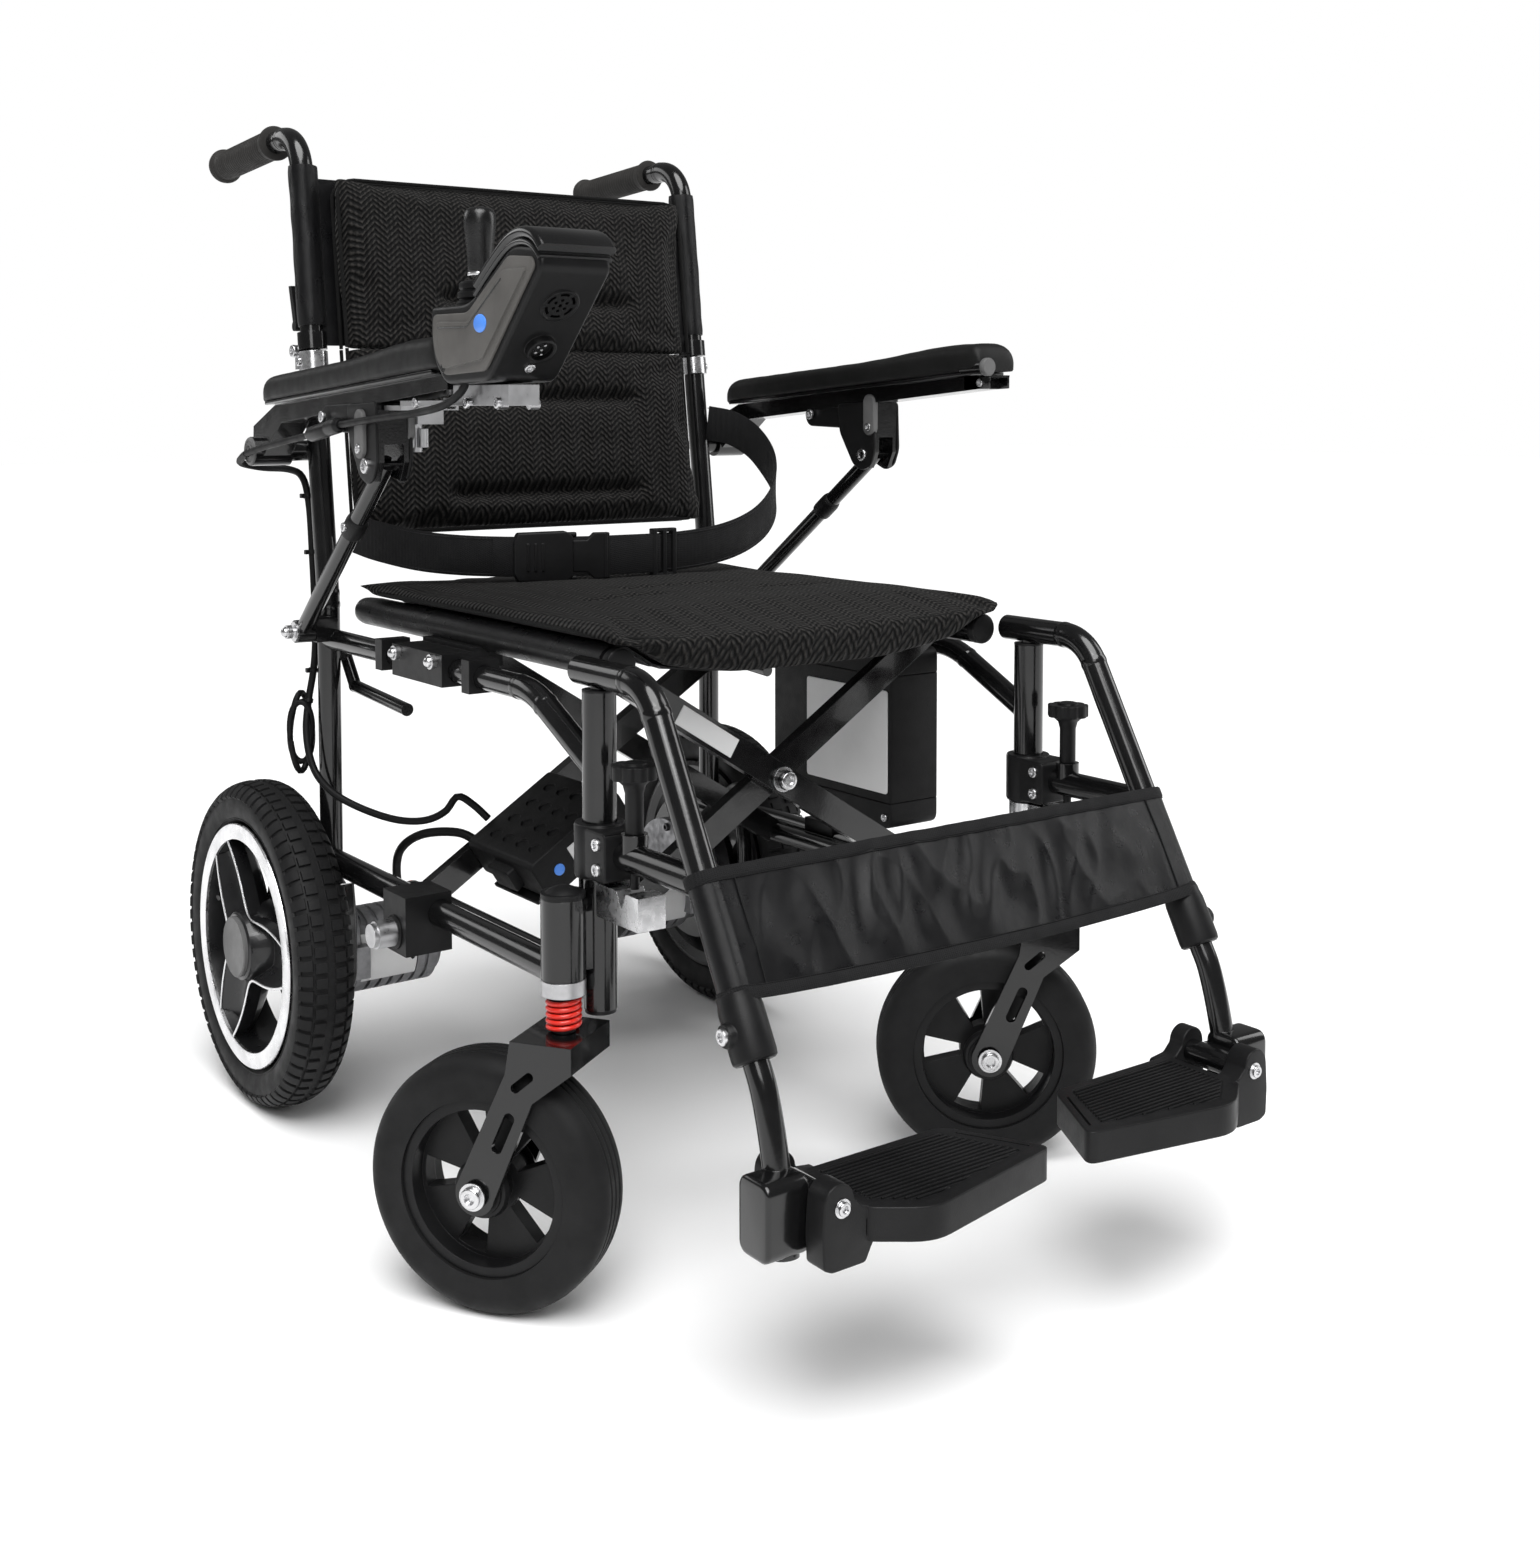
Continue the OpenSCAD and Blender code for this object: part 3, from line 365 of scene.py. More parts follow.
def smooth_by_angle(mesh, limit=math.radians(32)):
    mesh.polygons.foreach_set("use_smooth", [True] * len(mesh.polygons))
    mesh.set_sharp_from_angle(angle=limit)


# ---------- building pieces ----------

def add(name, mesh, look, body=None, slot=None, replaces=(), limit=40):
    """Makes a piece from a mesh, gives it its finish and lets it ride on a CAD body."""
    piece = linked(name, mesh)
    mesh.materials.append(LOOKS[look])
    smooth_by_angle(mesh, math.radians(limit))
    if body:
        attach(piece, body)
    if replaces:
        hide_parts(*([replaces] if isinstance(replaces, str) else replaces))
    return piece


def mesh_of(points, faces):
    mesh = bpy.data.meshes.new("mesh")
    mesh.from_pydata([tuple(p) for p in points], [], faces)
    mesh.validate()
    return mesh


def grid_faces(rows, columns, close_rows=False, close_columns=False):
    """Quads over a grid of points stored row by row."""
    faces = []
    for i in range(rows if close_rows else rows - 1):
        for j in range(columns if close_columns else columns - 1):
            a, b = i * columns + j, i * columns + (j + 1) % columns
            c, d = ((i + 1) % rows) * columns + (j + 1) % columns, ((i + 1) % rows) * columns + j
            faces.append((a, b, c, d))
    return faces


def reworked(mesh, work):
    """Edits a mesh with a function that works on its bmesh."""
    bm = bmesh.new()
    bm.from_mesh(mesh)
    work(bm)
    bm.to_mesh(mesh)
    bm.free()
    return mesh


def outward(mesh):
    """Turns every face of a closed mesh outwards."""
    return reworked(mesh, lambda bm: bmesh.ops.recalc_face_normals(bm, faces=bm.faces))


def shell_between(top, bottom, columns, rows):
    """A closed solid between two grids of points, joined round their edges."""
    n = columns * rows
    faces = grid_faces(rows, columns)
    faces += [tuple(n + k for k in reversed(f)) for f in faces]
    rim = list(range(columns)) + [r * columns + columns - 1 for r in range(1, rows)]
    rim += list(range(n - 2, n - columns - 1, -1)) + [r * columns for r in range(rows - 2, 0, -1)]
    faces += [(rim[k], rim[(k + 1) % len(rim)], n + rim[(k + 1) % len(rim)], n + rim[k])
              for k in range(len(rim))]
    return outward(mesh_of(list(top) + list(bottom), faces))


def shell(columns, rows, place):
    """A closed solid: place(u, t), both from 0 to 1, gives a front point and a rear point."""
    pairs = [place(j / (columns - 1), i / (rows - 1)) for i in range(rows) for j in range(columns)]
    return shell_between(*zip(*pairs), columns, rows)


def joined(meshes):
    """One mesh holding several."""
    bm = bmesh.new()
    for mesh in meshes:
        bm.from_mesh(mesh)
        bpy.data.meshes.remove(mesh)
    whole = bpy.data.meshes.new("mesh")
    bm.to_mesh(whole)
    bm.free()
    return whole


def lathe(profile, centre, axis, steps=64):
    """A closed solid turned from [(radius, distance along the axis)], in mm, around an axis."""
    axis = Vector(axis).normalized()
    side = axis.orthogonal().normalized()
    third = axis.cross(side)
    points = []
    for i in range(steps):
        a = math.tau * i / steps
        out = side * math.cos(a) + third * math.sin(a)
        points += [Vector(centre) + out * (r * MM) + axis * (h * MM) for r, h in profile]
    mesh = mesh_of(points, grid_faces(steps, len(profile), close_rows=True,
                                      close_columns=profile[0][0] > 0))
    return outward(reworked(mesh, lambda bm: bmesh.ops.remove_doubles(bm, verts=bm.verts, dist=1e-6)))


def oblong(left, low, right, high):
    """The four corners of a rectangle."""
    return [(left, low), (right, low), (right, high), (left, high)]


def disc(radius, low, high, bore=0):
    """Profile for lathe of a plain disc, rod or ring."""
    return oblong(bore, low, radius, high)


def sweep(path, outline, closed=False, up=UP):
    """Carries a closed outline of (across, up) points along a path, turning it with the path."""
    path = [Vector(p) for p in path]
    n = len(path)
    points, side = [], None
    for i, p in enumerate(path):
        ahead = path[(i + 1) % n] if closed else path[min(i + 1, n - 1)]
        behind = path[i - 1] if closed else path[max(i - 1, 0)]
        t = (ahead - behind).normalized()
        if side is None:
            side = t.cross(up)
            side = side if side.length > 0.1 else t.orthogonal()
        side = (side - t * side.dot(t)).normalized()
        top = side.cross(t)
        points += [p + side * a + top * b for a, b in outline]
    return outward(mesh_of(points, tube_faces(n, len(outline), closed)))


def tube_faces(n, k, closed=False):
    """Faces of a tube of n rings with k points each, capped unless it closes on itself."""
    caps = [] if closed else [tuple(range(k)), tuple(range((n - 1) * k, n * k))]
    return grid_faces(n, k, close_rows=closed, close_columns=True) + caps


def mm(points):
    """Points in mm, turned into metres."""
    return [tuple(v * MM for v in p) for p in points]


def around(count):
    """Angles spaced evenly over a full turn."""
    return np.linspace(0, math.tau, count + 1)[:-1]


def ring(radius, sides=12):
    """Outline of a round bar; the radius is in mm."""
    return mm([(radius * math.cos(a), radius * math.sin(a)) for a in around(sides)])


def band(width, thickness, sides=6):
    """Outline of flat webbing with rounded edges; its sizes are in mm."""
    half, r = width / 2 - thickness / 2, thickness / 2
    right = [(half + r * math.cos(a), r * math.sin(a))
             for a in np.linspace(-math.pi / 2, math.pi / 2, sides)]
    return mm(right + [(-x, -y) for x, y in right])


def smooth_path(points, step=0.004, closed=False):
    """Evenly spaced points on a smooth curve through the given ones."""
    p = [Vector(q) for q in points]
    spans = len(p) if closed else len(p) - 1
    dense = []
    for i in range(spans):
        if closed:
            a, b, c, d = p[i - 1], p[i], p[(i + 1) % len(p)], p[(i + 2) % len(p)]
        else:
            b, c = p[i], p[i + 1]
            a = p[i - 1] if i else b * 2 - c
            d = p[i + 2] if i + 2 < len(p) else c * 2 - b
        for k in range(12):
            t = k / 12
            dense.append(0.5 * ((2 * b) + (c - a) * t + (2 * a - 5 * b + 4 * c - d) * t * t
                                + (3 * b - a - 3 * c + d) * t ** 3))
    dense.append(p[0] if closed else p[-1])
    gone = np.cumsum([0] + [(dense[i + 1] - dense[i]).length for i in range(len(dense) - 1)])
    count = max(2, int(round(gone[-1] / step)))
    at = np.linspace(0, gone[-1], count + (0 if not closed else 1))
    flat = np.array(dense)
    even = [Vector([np.interp(s, gone, flat[:, k]) for k in range(3)]) for s in at]
    return even[:-1] if closed else even


def extruded(outline, low, high, bevel=0, segments=3, axis="X"):
    """A plate or block: an outline of two coordinates, drawn out along the third, all in mm."""
    frames = {"X": lambda a, b, h: (h, a, b), "Y": lambda a, b, h: (a, h, b), "Z": lambda a, b,
              h: (a, b, h)}
    put = frames[axis]
    n = len(outline)
    points = mm([put(a, b, h) for h in (low, high) for a, b in outline])
    faces = [tuple(range(n)), tuple(range(n, 2 * n))]
    faces += [(i, (i + 1) % n, n + (i + 1) % n, n + i) for i in range(n)]
    mesh = outward(mesh_of(points, faces))

    def soften(bm):
        rims = [e for e in bm.edges if e.is_manifold and e.calc_face_angle(0) > math.radians(28)]
        bmesh.ops.bevel(bm, geom=rims, offset=bevel * MM, segments=segments, profile=0.6,
                        affect="EDGES", clamp_overlap=True)
    return reworked(mesh, soften) if bevel else mesh


def arc(centre, radius, start, stop, count=8):
    """Points on an arc, with the angles in degrees."""
    return [(centre[0] + radius * math.cos(math.radians(a)), centre[1]
             + radius * math.sin(math.radians(a))) for a in np.linspace(start, stop, count)]


def round_box(low, high, radius, axis="X", bevel=1):
    """A block with round corners in the plane across its axis, in mm."""
    i = "XYZ".index(axis)
    j, k = [n for n in range(3) if n != i]
    corners = [((high[j] - radius, high[k] - radius), 0), ((low[j] + radius, high[k] - radius), 90),
               ((low[j] + radius, low[k] + radius), 180), ((high[j] - radius, low[k] + radius), 270)]
    outline = [p for centre, a in corners for p in arc(centre, radius, a, a + 90, 6)]
    return extruded(outline, low[i], high[i], bevel, axis=axis)


def bolt_head(centre, axis, radius, height):
    """A cap screw with a rounded rim and a round socket; radius and height are in mm."""
    profile = [(0, 0), (radius, 0), (radius, height * 0.75)]
    profile += [(radius - height * 0.25 * (1 - math.cos(a)), height * (0.75 + 0.25 * math.sin(a)))
                for a in (0.5, 1.0, 1.57)]
    profile += [(radius * 0.55, height), (radius * 0.5, height * 0.3), (0, height * 0.3)]
    return lathe(profile, centre, axis, 24)


def mirrored(mesh):
    """The mirror image across the chair's centre plane."""
    mesh.transform(Matrix.Scale(-1, 4, (1, 0, 0)))
    mesh.flip_normals()
    return mesh


class Side(str):
    """The right or left side, named "r" or "l"; what is drawn is for the right side."""

    def add(self, name, mesh, look, body, replaces=None, **more):
        return add(f"{name}_{self}", mirrored(mesh) if self == "l" else mesh, look,
                   f"{body}_{self}", replaces=f"{replaces}_{self}" if replaces else (), **more)


SIDES = Side("r"), Side("l")


# ---------- wheels ----------

WHEEL_AT = Vector((-0.270, 0.308, 0.159))


TREAD = 2.6                              # height of the tread blocks, in mm


def tyre_section(t):
    """(radius, distance along the axle) in mm; t runs from -1 to 1 over the tread."""
    a = t * math.radians(88)
    return 134 + 22.4 * abs(math.cos(a)) ** 0.72, 26.6 * math.copysign(abs(math.sin(a)) ** 0.8, a)


def on_wheel(radius, out, angle):
    """A point of the rear wheel, with the distances in mm."""
    return WHEEL_AT + (OUT * out + Vector((0, math.cos(angle), math.sin(angle))) * radius) * MM


def tread_block(t0, t1, a0, a1):
    """One block on the carcass between two places across it and two angles around it."""
    foot, head = [], []
    for i, t in enumerate(np.linspace(t0, t1, 4)):
        for j, a in enumerate(np.linspace(a0, a1, 3)):
            r, h = tyre_section(t)
            r2, h2 = tyre_section(t + 0.01)
            across = Vector((r2 - r, h2 - h)).normalized()
            rise = Vector((across.y, -across.x)) * TREAD
            taper_t = t + (0.012 if i == 0 else -0.012 if i == 3 else 0)
            taper_a = a + (0.004 if j == 0 else -0.004 if j == 2 else 0)
            rt, ht = tyre_section(taper_t)
            foot.append(on_wheel(r - 1, h, a))
            head.append(on_wheel(rt + rise.x, ht + rise.y, taper_a))
    faces = [(i * 3 + j, i * 3 + j + 1, i * 3 + j + 4, i * 3 + j + 3) for i in range(3) for j in range(2)]
    shell = [(12 + a, 12 + b, 12 + c, 12 + d) for a, b, c, d in faces]
    rim = [0, 1, 2, 5, 8, 11, 10, 9, 6, 3]
    walls = [(rim[i], rim[(i + 1) % 10], 12 + rim[(i + 1) % 10], 12 + rim[i]) for i in range(10)]
    return foot + head, shell + walls


def make_rear_tyre(side):
    profile = [(118, -18), (122, -22.5), (128, -25.6)]
    profile += [tyre_section(t) for t in np.linspace(-1, 1, 27)]
    profile += [(128, 25.6), (122, 22.5), (118, 18)]
    carcass = lathe(profile, WHEEL_AT, OUT, 96)
    points, faces, pitches = [], [], 68
    for i in range(pitches):
        step = math.tau / pitches
        for way in (-1, 1):
            start = (i + (0.5 if way > 0 else 0)) * step
            for t0, t1, shift, share in ((0.36, 0.80, 0, 0.76), (0.05, 0.31, 0.22, 0.72)):
                low, high = sorted((way * t0, way * t1))
                more, shell = tread_block(low, high, start + shift * step, start + (shift + share) * step)
                faces += [tuple(len(points) + k for k in f) for f in shell]
                points += more
    blocks = outward(mesh_of(points, faces))
    beads = [lathe([(r + 0.7 * math.cos(a), h + 0.7 * math.sin(a)) for a in around(6)], WHEEL_AT, OUT,
                   96) for r, h in ((123.5, 23.6), (146, 25.2))]
    whole = joined([carcass, blocks] + beads)
    side.add("rear_tyre_dressed", whole, "tyre_rubber", "rear_wheel", replaces="rear_tyre", limit=35)


def petal(turn):
    """The curve of one opening of the rear wheel, as (y, z) round the axle."""
    span = math.radians(49)
    curve = []
    for a in np.linspace(-span, span, 40):
        r = (37 + 66 * abs(a / span) ** 2.3) * MM
        curve.append((r * math.cos(a + turn), r * math.sin(a + turn)))
    return curve


def at_wheel(y, z, h):
    """A point h out from the rear wheel's middle."""
    return WHEEL_AT + OUT * h + Vector((0, y, z))


def make_rear_rim(side):
    turns = [math.radians(a) for a in (-2, 118, 238)]
    plates = []
    for i, turn in enumerate(turns):
        # a spoke fills the space from this opening's curve to the next one's
        following = turns[(i + 1) % 3] + (math.tau if i == 2 else 0)
        here = petal(turn)[20:]
        there = petal(following)[:20][::-1]
        rows = []
        for (y0, z0), (y1, z1) in zip(here, there):
            row = []
            for k in np.linspace(0, 1, 9):
                y, z = y0 + (y1 - y0) * k, z0 + (z1 - z0) * k
                wide = math.hypot(y1 - y0, z1 - z0)
                dish = 0.35 * wide * math.sin(math.pi * k) ** 0.8
                row.append(at_wheel(y, z, 25 * MM - min(dish, 16 * MM)))
            rows.append(row)
        front = [p for row in rows for p in row]
        plates.append(shell_between(front, [p + OUT * (-14 * MM) for p in front], 9, 20))
    barrel = lathe([(103, -23), (113, -26), (118, -24), (117, -18), (110, -10), (110, 12), (117.5, 20),
                    (118, 24), (104, 25), (102, 16), (101, -8)], WHEEL_AT, OUT, 96)
    hub = lathe([(0, -22), (34, -22), (40, -14), (41, 8), (37, 17), (34, 25), (33, 29.5), (31, 31),
                 (0, 31)], WHEEL_AT, OUT, 64)
    axle = lathe(disc(7.5, -64, -22), WHEEL_AT, OUT, 24)
    side.add("rear_rim_dressed", joined(plates + [barrel, hub]), "rear_rim_alloy", "rear_wheel",
             replaces="rear_rim", limit=35)
    face = lathe([(103.6, 23), (118.2, 22.5), (119.2, 24.6), (118.4, 26.2), (105, 26.6),
                  (103.6, 26)], WHEEL_AT, OUT, 128)
    lines = []
    for turn in turns:
        path = [at_wheel(y, z, 25.3 * MM) for y, z in petal(turn)]
        lines.append(sweep(path, band(2.8, 1.6, 4), up=OUT))
    side.add("rim_machined_face", joined([face, axle] + lines), "rim_silver", "rear_wheel",
             slot="rear_rim_alloy")
    cap = lathe([(0, 30), (29.5, 30), (29.5, 34), (28, 35), (26.5, 34.4), (0, 34.9)], WHEEL_AT, OUT, 64)
    side.add("hub_cap", cap, "grey_plastic", "rear_wheel", slot="caster_hub_plastic")
    nipple = sweep([at_wheel(0.092, 0.030, 8 * MM), at_wheel(0.087, 0.027, 18 * MM)], ring(3, 10), up=UP)
    side.add("valve", nipple, "stick_rubber", "rear_wheel")


CASTER = {side: Vector(((-1 if side == "r" else 1) * 0.255, -0.248, 0)) for side in "rl"}


def make_spring(side):
    low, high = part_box(f"caster_spring_{side}")
    wire = 1.95 * MM
    radius = (high.x - low.x) / 2 - wire
    turns, steps = 5.2, 26
    path = []
    for i in range(int(turns * steps) + 1):
        a = math.tau * i / steps
        rise = low.z + wire + (high.z - low.z - 2 * wire) * i / (turns * steps)
        path.append(CASTER[side] + Vector((radius * math.cos(a), radius * math.sin(a), rise)))
    coil = sweep(path, ring(wire / MM, 10))
    sleeve = lathe(disc(9, low.z / MM, high.z / MM, 7), CASTER[side], UP, 32)
    piece = add(f"suspension_coil_{side}", coil, "red_spring", f"caster_{side}",
                replaces=f"caster_spring_{side}")
    inner = add(f"suspension_sleeve_{side}", sleeve, "dark_bolt", f"caster_{side}", slot="silver_metal")
    for part in (piece, inner):
        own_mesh(part)


def make_caster_trim(side):
    """Axle bolts and hub caps of a caster."""
    low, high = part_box(f"caster_tyre_{side}")
    centre = (low + high) / 2
    axis = (centre - CASTER[side]) * Vector((1, 1, 0))
    axis = UP.cross(axis).normalized()
    bolts = []
    for way in (-1, 1):
        bolts.append(bolt_head(centre + axis * way * 37.5 * MM, axis * way, 8, 5))
        bolts.append(lathe(disc(10.5, 0, 1.6), centre + axis * way * 37 * MM, axis * way, 32))
    add(f"caster_axle_bolts_{side}", joined(bolts), "bright_hardware", f"fork_{side}")
    caps = []
    for way in (-1, 1):
        caps.append(lathe([(19, 21), (23, 21), (21, 25.5), (18, 26)], centre, axis * way, 48))
    add(f"caster_hub_rings_{side}", joined(caps), "caster_hub_plastic", f"caster_wheel_{side}")


def make_wheels():
    for side in SIDES:
        make_rear_tyre(side)
        make_rear_rim(side)
        make_spring(side)
        make_caster_trim(side)


# ---------- padded and woven parts ----------


def applied(mesh, kind, **settings):
    """The mesh with one modifier applied."""
    piece = linked("work", mesh)
    step = piece.modifiers.new(kind, kind)
    for key, value in settings.items():
        setattr(step, key, value)
    made = bpy.data.meshes.new_from_object(piece.evaluated_get(bpy.context.evaluated_depsgraph_get()))
    bpy.data.objects.remove(piece)
    return made


def coords(mesh):
    flat = np.empty(len(mesh.vertices) * 3)
    mesh.vertices.foreach_get("co", flat)
    return flat.reshape(-1, 3)


def put_coords(mesh, points):
    mesh.vertices.foreach_set("co", np.ascontiguousarray(points).ravel())
    mesh.update()


def inflate(mesh, pressure, cap, held):
    """Swells a closed mesh by cloth simulation; held(points) says how firmly each point stays."""
    mesh = applied(mesh, "REMESH", mode="VOXEL", voxel_size=5 * MM)
    scene = bpy.context.scene
    piece = linked("to_inflate", mesh)
    rest = coords(mesh)
    group = piece.vertex_groups.new(name="held")
    for i, weight in enumerate(held(rest)):
        if weight > 0:
            group.add([i], float(weight), "REPLACE")
    cloth = piece.modifiers.new("cloth", "CLOTH")
    cloth.settings.quality = 5
    cloth.settings.mass = 0.3
    cloth.settings.tension_stiffness = cloth.settings.compression_stiffness = 18
    cloth.settings.shear_stiffness = 8
    cloth.settings.bending_stiffness = 0.6
    cloth.settings.use_pressure = True
    cloth.settings.uniform_pressure_force = pressure
    cloth.settings.effector_weights.gravity = 0
    cloth.settings.vertex_group_mass = "held"
    cloth.collision_settings.use_collision = False
    for number in range(1, 21):
        scene.frame_set(number)
    swollen = piece.evaluated_get(bpy.context.evaluated_depsgraph_get()).to_mesh()
    shift = coords(swollen) - rest
    length = np.linalg.norm(shift, axis=1, keepdims=True)
    shift *= np.minimum(1, cap / np.maximum(length, 1e-9))
    bpy.data.objects.remove(piece)
    scene.frame_set(1)
    put_coords(mesh, rest + shift)
    return mesh


def ripple(point, scale, seed):
    return noise.noise(Vector(point) * scale + Vector((seed, seed * 0.37, -seed)))


LEANING = Matrix.Translation(BACK_FOOT) @ Matrix.Rotation(-BACK_LEAN, 4, "X")
HINGE_H = (BACK_HINGE.z - BACK_FOOT.z) / math.cos(BACK_LEAN)
PAD_HALF = 0.207
PAD_FRONT, PAD_BACK = -0.034, -0.006
PAD_LOW, PAD_HIGH = 0.054, 0.416
CHANNELS = [0.096, 0.193, 0.294]
CHANNEL_X = (-0.1, 0.118)


def back_panel(low, high, seam_at):
    """One panel of the back cushion, upright; seam_at is the edge that meets the other panel."""
    free = PAD_HIGH if seam_at == low else PAD_LOW
    mid = (PAD_FRONT + PAD_BACK) / 2 + 0.004

    def place(u, t):
        u, h = 2 * u - 1, low + (high - low) * t
        edge = min(1, abs(h - free) / 0.03)
        full = (1 - abs(u) ** 12) ** 0.45 * math.sin(edge * math.pi / 2) ** 0.5
        pull = 0.004 * math.cos(math.pi * (h - PAD_LOW) / (PAD_HIGH - PAD_LOW) * 2)
        x = u * (PAD_HALF - 0.004 + pull)
        return (x, mid + (PAD_FRONT + 0.002 - mid) * full, h), (x, mid + (PAD_BACK - mid) * full * 0.9, h)
    return shell(57, 25, place)


def sewn(points):
    """Presses the sewn channels into the front of the back cushion and swells it between them."""
    for p in points:
        if p[1] > (PAD_FRONT + PAD_BACK) / 2:
            continue
        inside = min(1, max(0, (p[0] - CHANNEL_X[0]) / 0.02 + 0.5)) \
            * min(1, max(0, (CHANNEL_X[1] - p[0]) / 0.02 + 0.5))
        ends = min(1, max(0, (PAD_HALF - abs(p[0])) / 0.06))
        for h in CHANNELS:
            away = p[2] - h
            p[1] += 0.0115 * inside * math.exp(-(away / 0.0075) ** 2)
            p[1] -= 0.0035 * (0.35 + 0.65 * inside) * ends * math.exp(-((abs(away) - 0.03) / 0.02) ** 2)
        p[1] -= 0.0012 * ripple((p[0], 0, p[2]), 24, 3.1)
    return points


def make_back_cushion():
    for part, low, high, seam, body in (("upper", HINGE_H + 0.0006, PAD_HIGH, HINGE_H + 0.0006, "back_r"),
                                        ("lower", PAD_LOW, HINGE_H - 0.0006, HINGE_H - 0.0006, "frame_r")):
        def held(points):
            near = np.abs(points[:, 2] - seam) < 0.009
            rear = points[:, 1] > PAD_BACK - 0.004
            return np.where(near, 1.0, np.where(rear, 0.9, 0.0))
        mesh = applied(inflate(back_panel(low, high, seam), 3.5, 0.007, held), "SUBSURF", levels=1)
        points = sewn(coords(mesh))
        # the two panels meet along a straight, flat joint
        beyond = points[:, 2] < seam if part == "upper" else points[:, 2] > seam
        points[beyond, 2] = seam
        put_coords(mesh, points)
        # the piping follows the swollen panel's own edge
        half = float(np.abs(points[:, 0]).max()) - 0.0012
        tip = float(points[:, 2].max()) - 0.001 if part == "upper" else \
            float(points[:, 2].min()) + 0.001
        mesh.transform(LEANING)
        pad = add(f"back_cushion_{part}_dressed", mesh, "cushion_mesh", body,
                  replaces=f"back_cushion_{part}", limit=60)
        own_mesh(pad)
        corner = 0.018
        away = 1 if part == "upper" else -1
        side = [(half, h) for h in np.linspace(seam, tip - away * corner, 14)]
        turn = [(half - corner + corner * math.cos(a), tip - away * corner * (1 - math.sin(a)))
                for a in np.linspace(0.15, math.pi / 2, 6)]
        one = side + turn + [(x, tip) for x in np.linspace(half - corner - 0.01, 0, 12)]
        route = one + [(-x, h) for x, h in one[-2::-1]]
        mid = (PAD_FRONT + PAD_BACK) / 2
        rims = []
        for depth in (mid - 0.006, mid + 0.008):
            line = [LEANING @ Vector((x, depth, h)) for x, h in route]
            rims.append(sweep(smooth_path(line, 0.006), ring(1.9, 8)))
        trim = add(f"back_cushion_{part}_piping", joined(rims), "piping", body, slot="cushion_mesh")
        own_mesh(trim)


def sling_z(x):
    """Height of the seat sling's upper face across the seat."""
    return float(np.interp(abs(x), [0, 0.07, 0.149, 0.179, 0.21], [0.4743, 0.4743, 0.4833, 0.5023, 0.5023]))


def make_seat_cushion():
    low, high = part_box("seat_cushion")
    middle, length = (low.y + high.y) / 2, (high.y - low.y) / 2
    seam_z = 0.5085

    def seam_at(u, v):
        return seam_z - 0.007 * (1 - u ** 2) * max(0, -v) ** 6

    def place(u, v):
        u, v = 2 * u - 1, 2 * v - 1
        x = u * (high.x - 0.004 - 0.006 * (1 - v ** 2))
        y = middle + v * (length - 0.004 - 0.004 * (1 - u ** 2))
        full = ((1 - abs(u) ** 7) * (1 - abs(v) ** 16)) ** 0.5
        seam = seam_at(u, v)
        drop = 0.012 * min(1, max(0, (-0.214 - y) / 0.012)) * (1 - abs(u) ** 3)
        floor = sling_z(x) + 0.0012 - drop
        return (x, y, seam + (0.006 + 0.004 * (1 - u * u)) * full), \
            (x, y, min(seam - 0.001, seam + (floor - seam) * full))

    def held(points):
        return np.where(points[:, 2] < 0.5065, 0.95, 0.0)
    mesh = applied(inflate(shell(61, 61, place), 4, 0.005, held), "SUBSURF", levels=1)
    points = coords(mesh)
    for p in points:
        if p[2] > seam_z - 0.004:
            # shallow tufts where the top is stitched down, in two short rows
            for cx, cy, long in ((0, -0.02, 0.055), (0, 0.09, 0.055), (-0.09, -0.075, 0.03),
                                 (0.09, -0.075, 0.03)):
                over = max(0, abs(p[0] - cx) - long)
                p[2] -= 0.0035 * math.exp(-(over / 0.012) ** 2 - ((p[1] - cy) / 0.007) ** 2)
            p[2] += 0.0014 * ripple((p[0], p[1], 0), 16, 5.5)
    put_coords(mesh, points)
    reach = float(np.abs(points[:, 0]).max()) - 0.0015
    front, rear = float(points[:, 1].min()) + 0.0015, float(points[:, 1].max()) - 0.0015
    cushion = add("seat_cushion_dressed", mesh, "cushion_mesh", replaces="seat_cushion", limit=60)
    rim = []
    for a in around(120):
        u, v = (math.copysign(abs(k) ** 0.18, k) for k in (math.cos(a), math.sin(a)))
        rim.append((u * (reach - 0.006 * (1 - v * v)), (front + rear) / 2
                    + v * ((rear - front) / 2 - 0.004 * (1 - u * u)), seam_at(u, v)))
    piping = add("seat_cushion_piping", sweep(smooth_path(rim, 0.006, closed=True), ring(2.3, 8),
                                              closed=True), "piping", slot="cushion_mesh")
    for piece in (cushion, piping):
        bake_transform(piece)


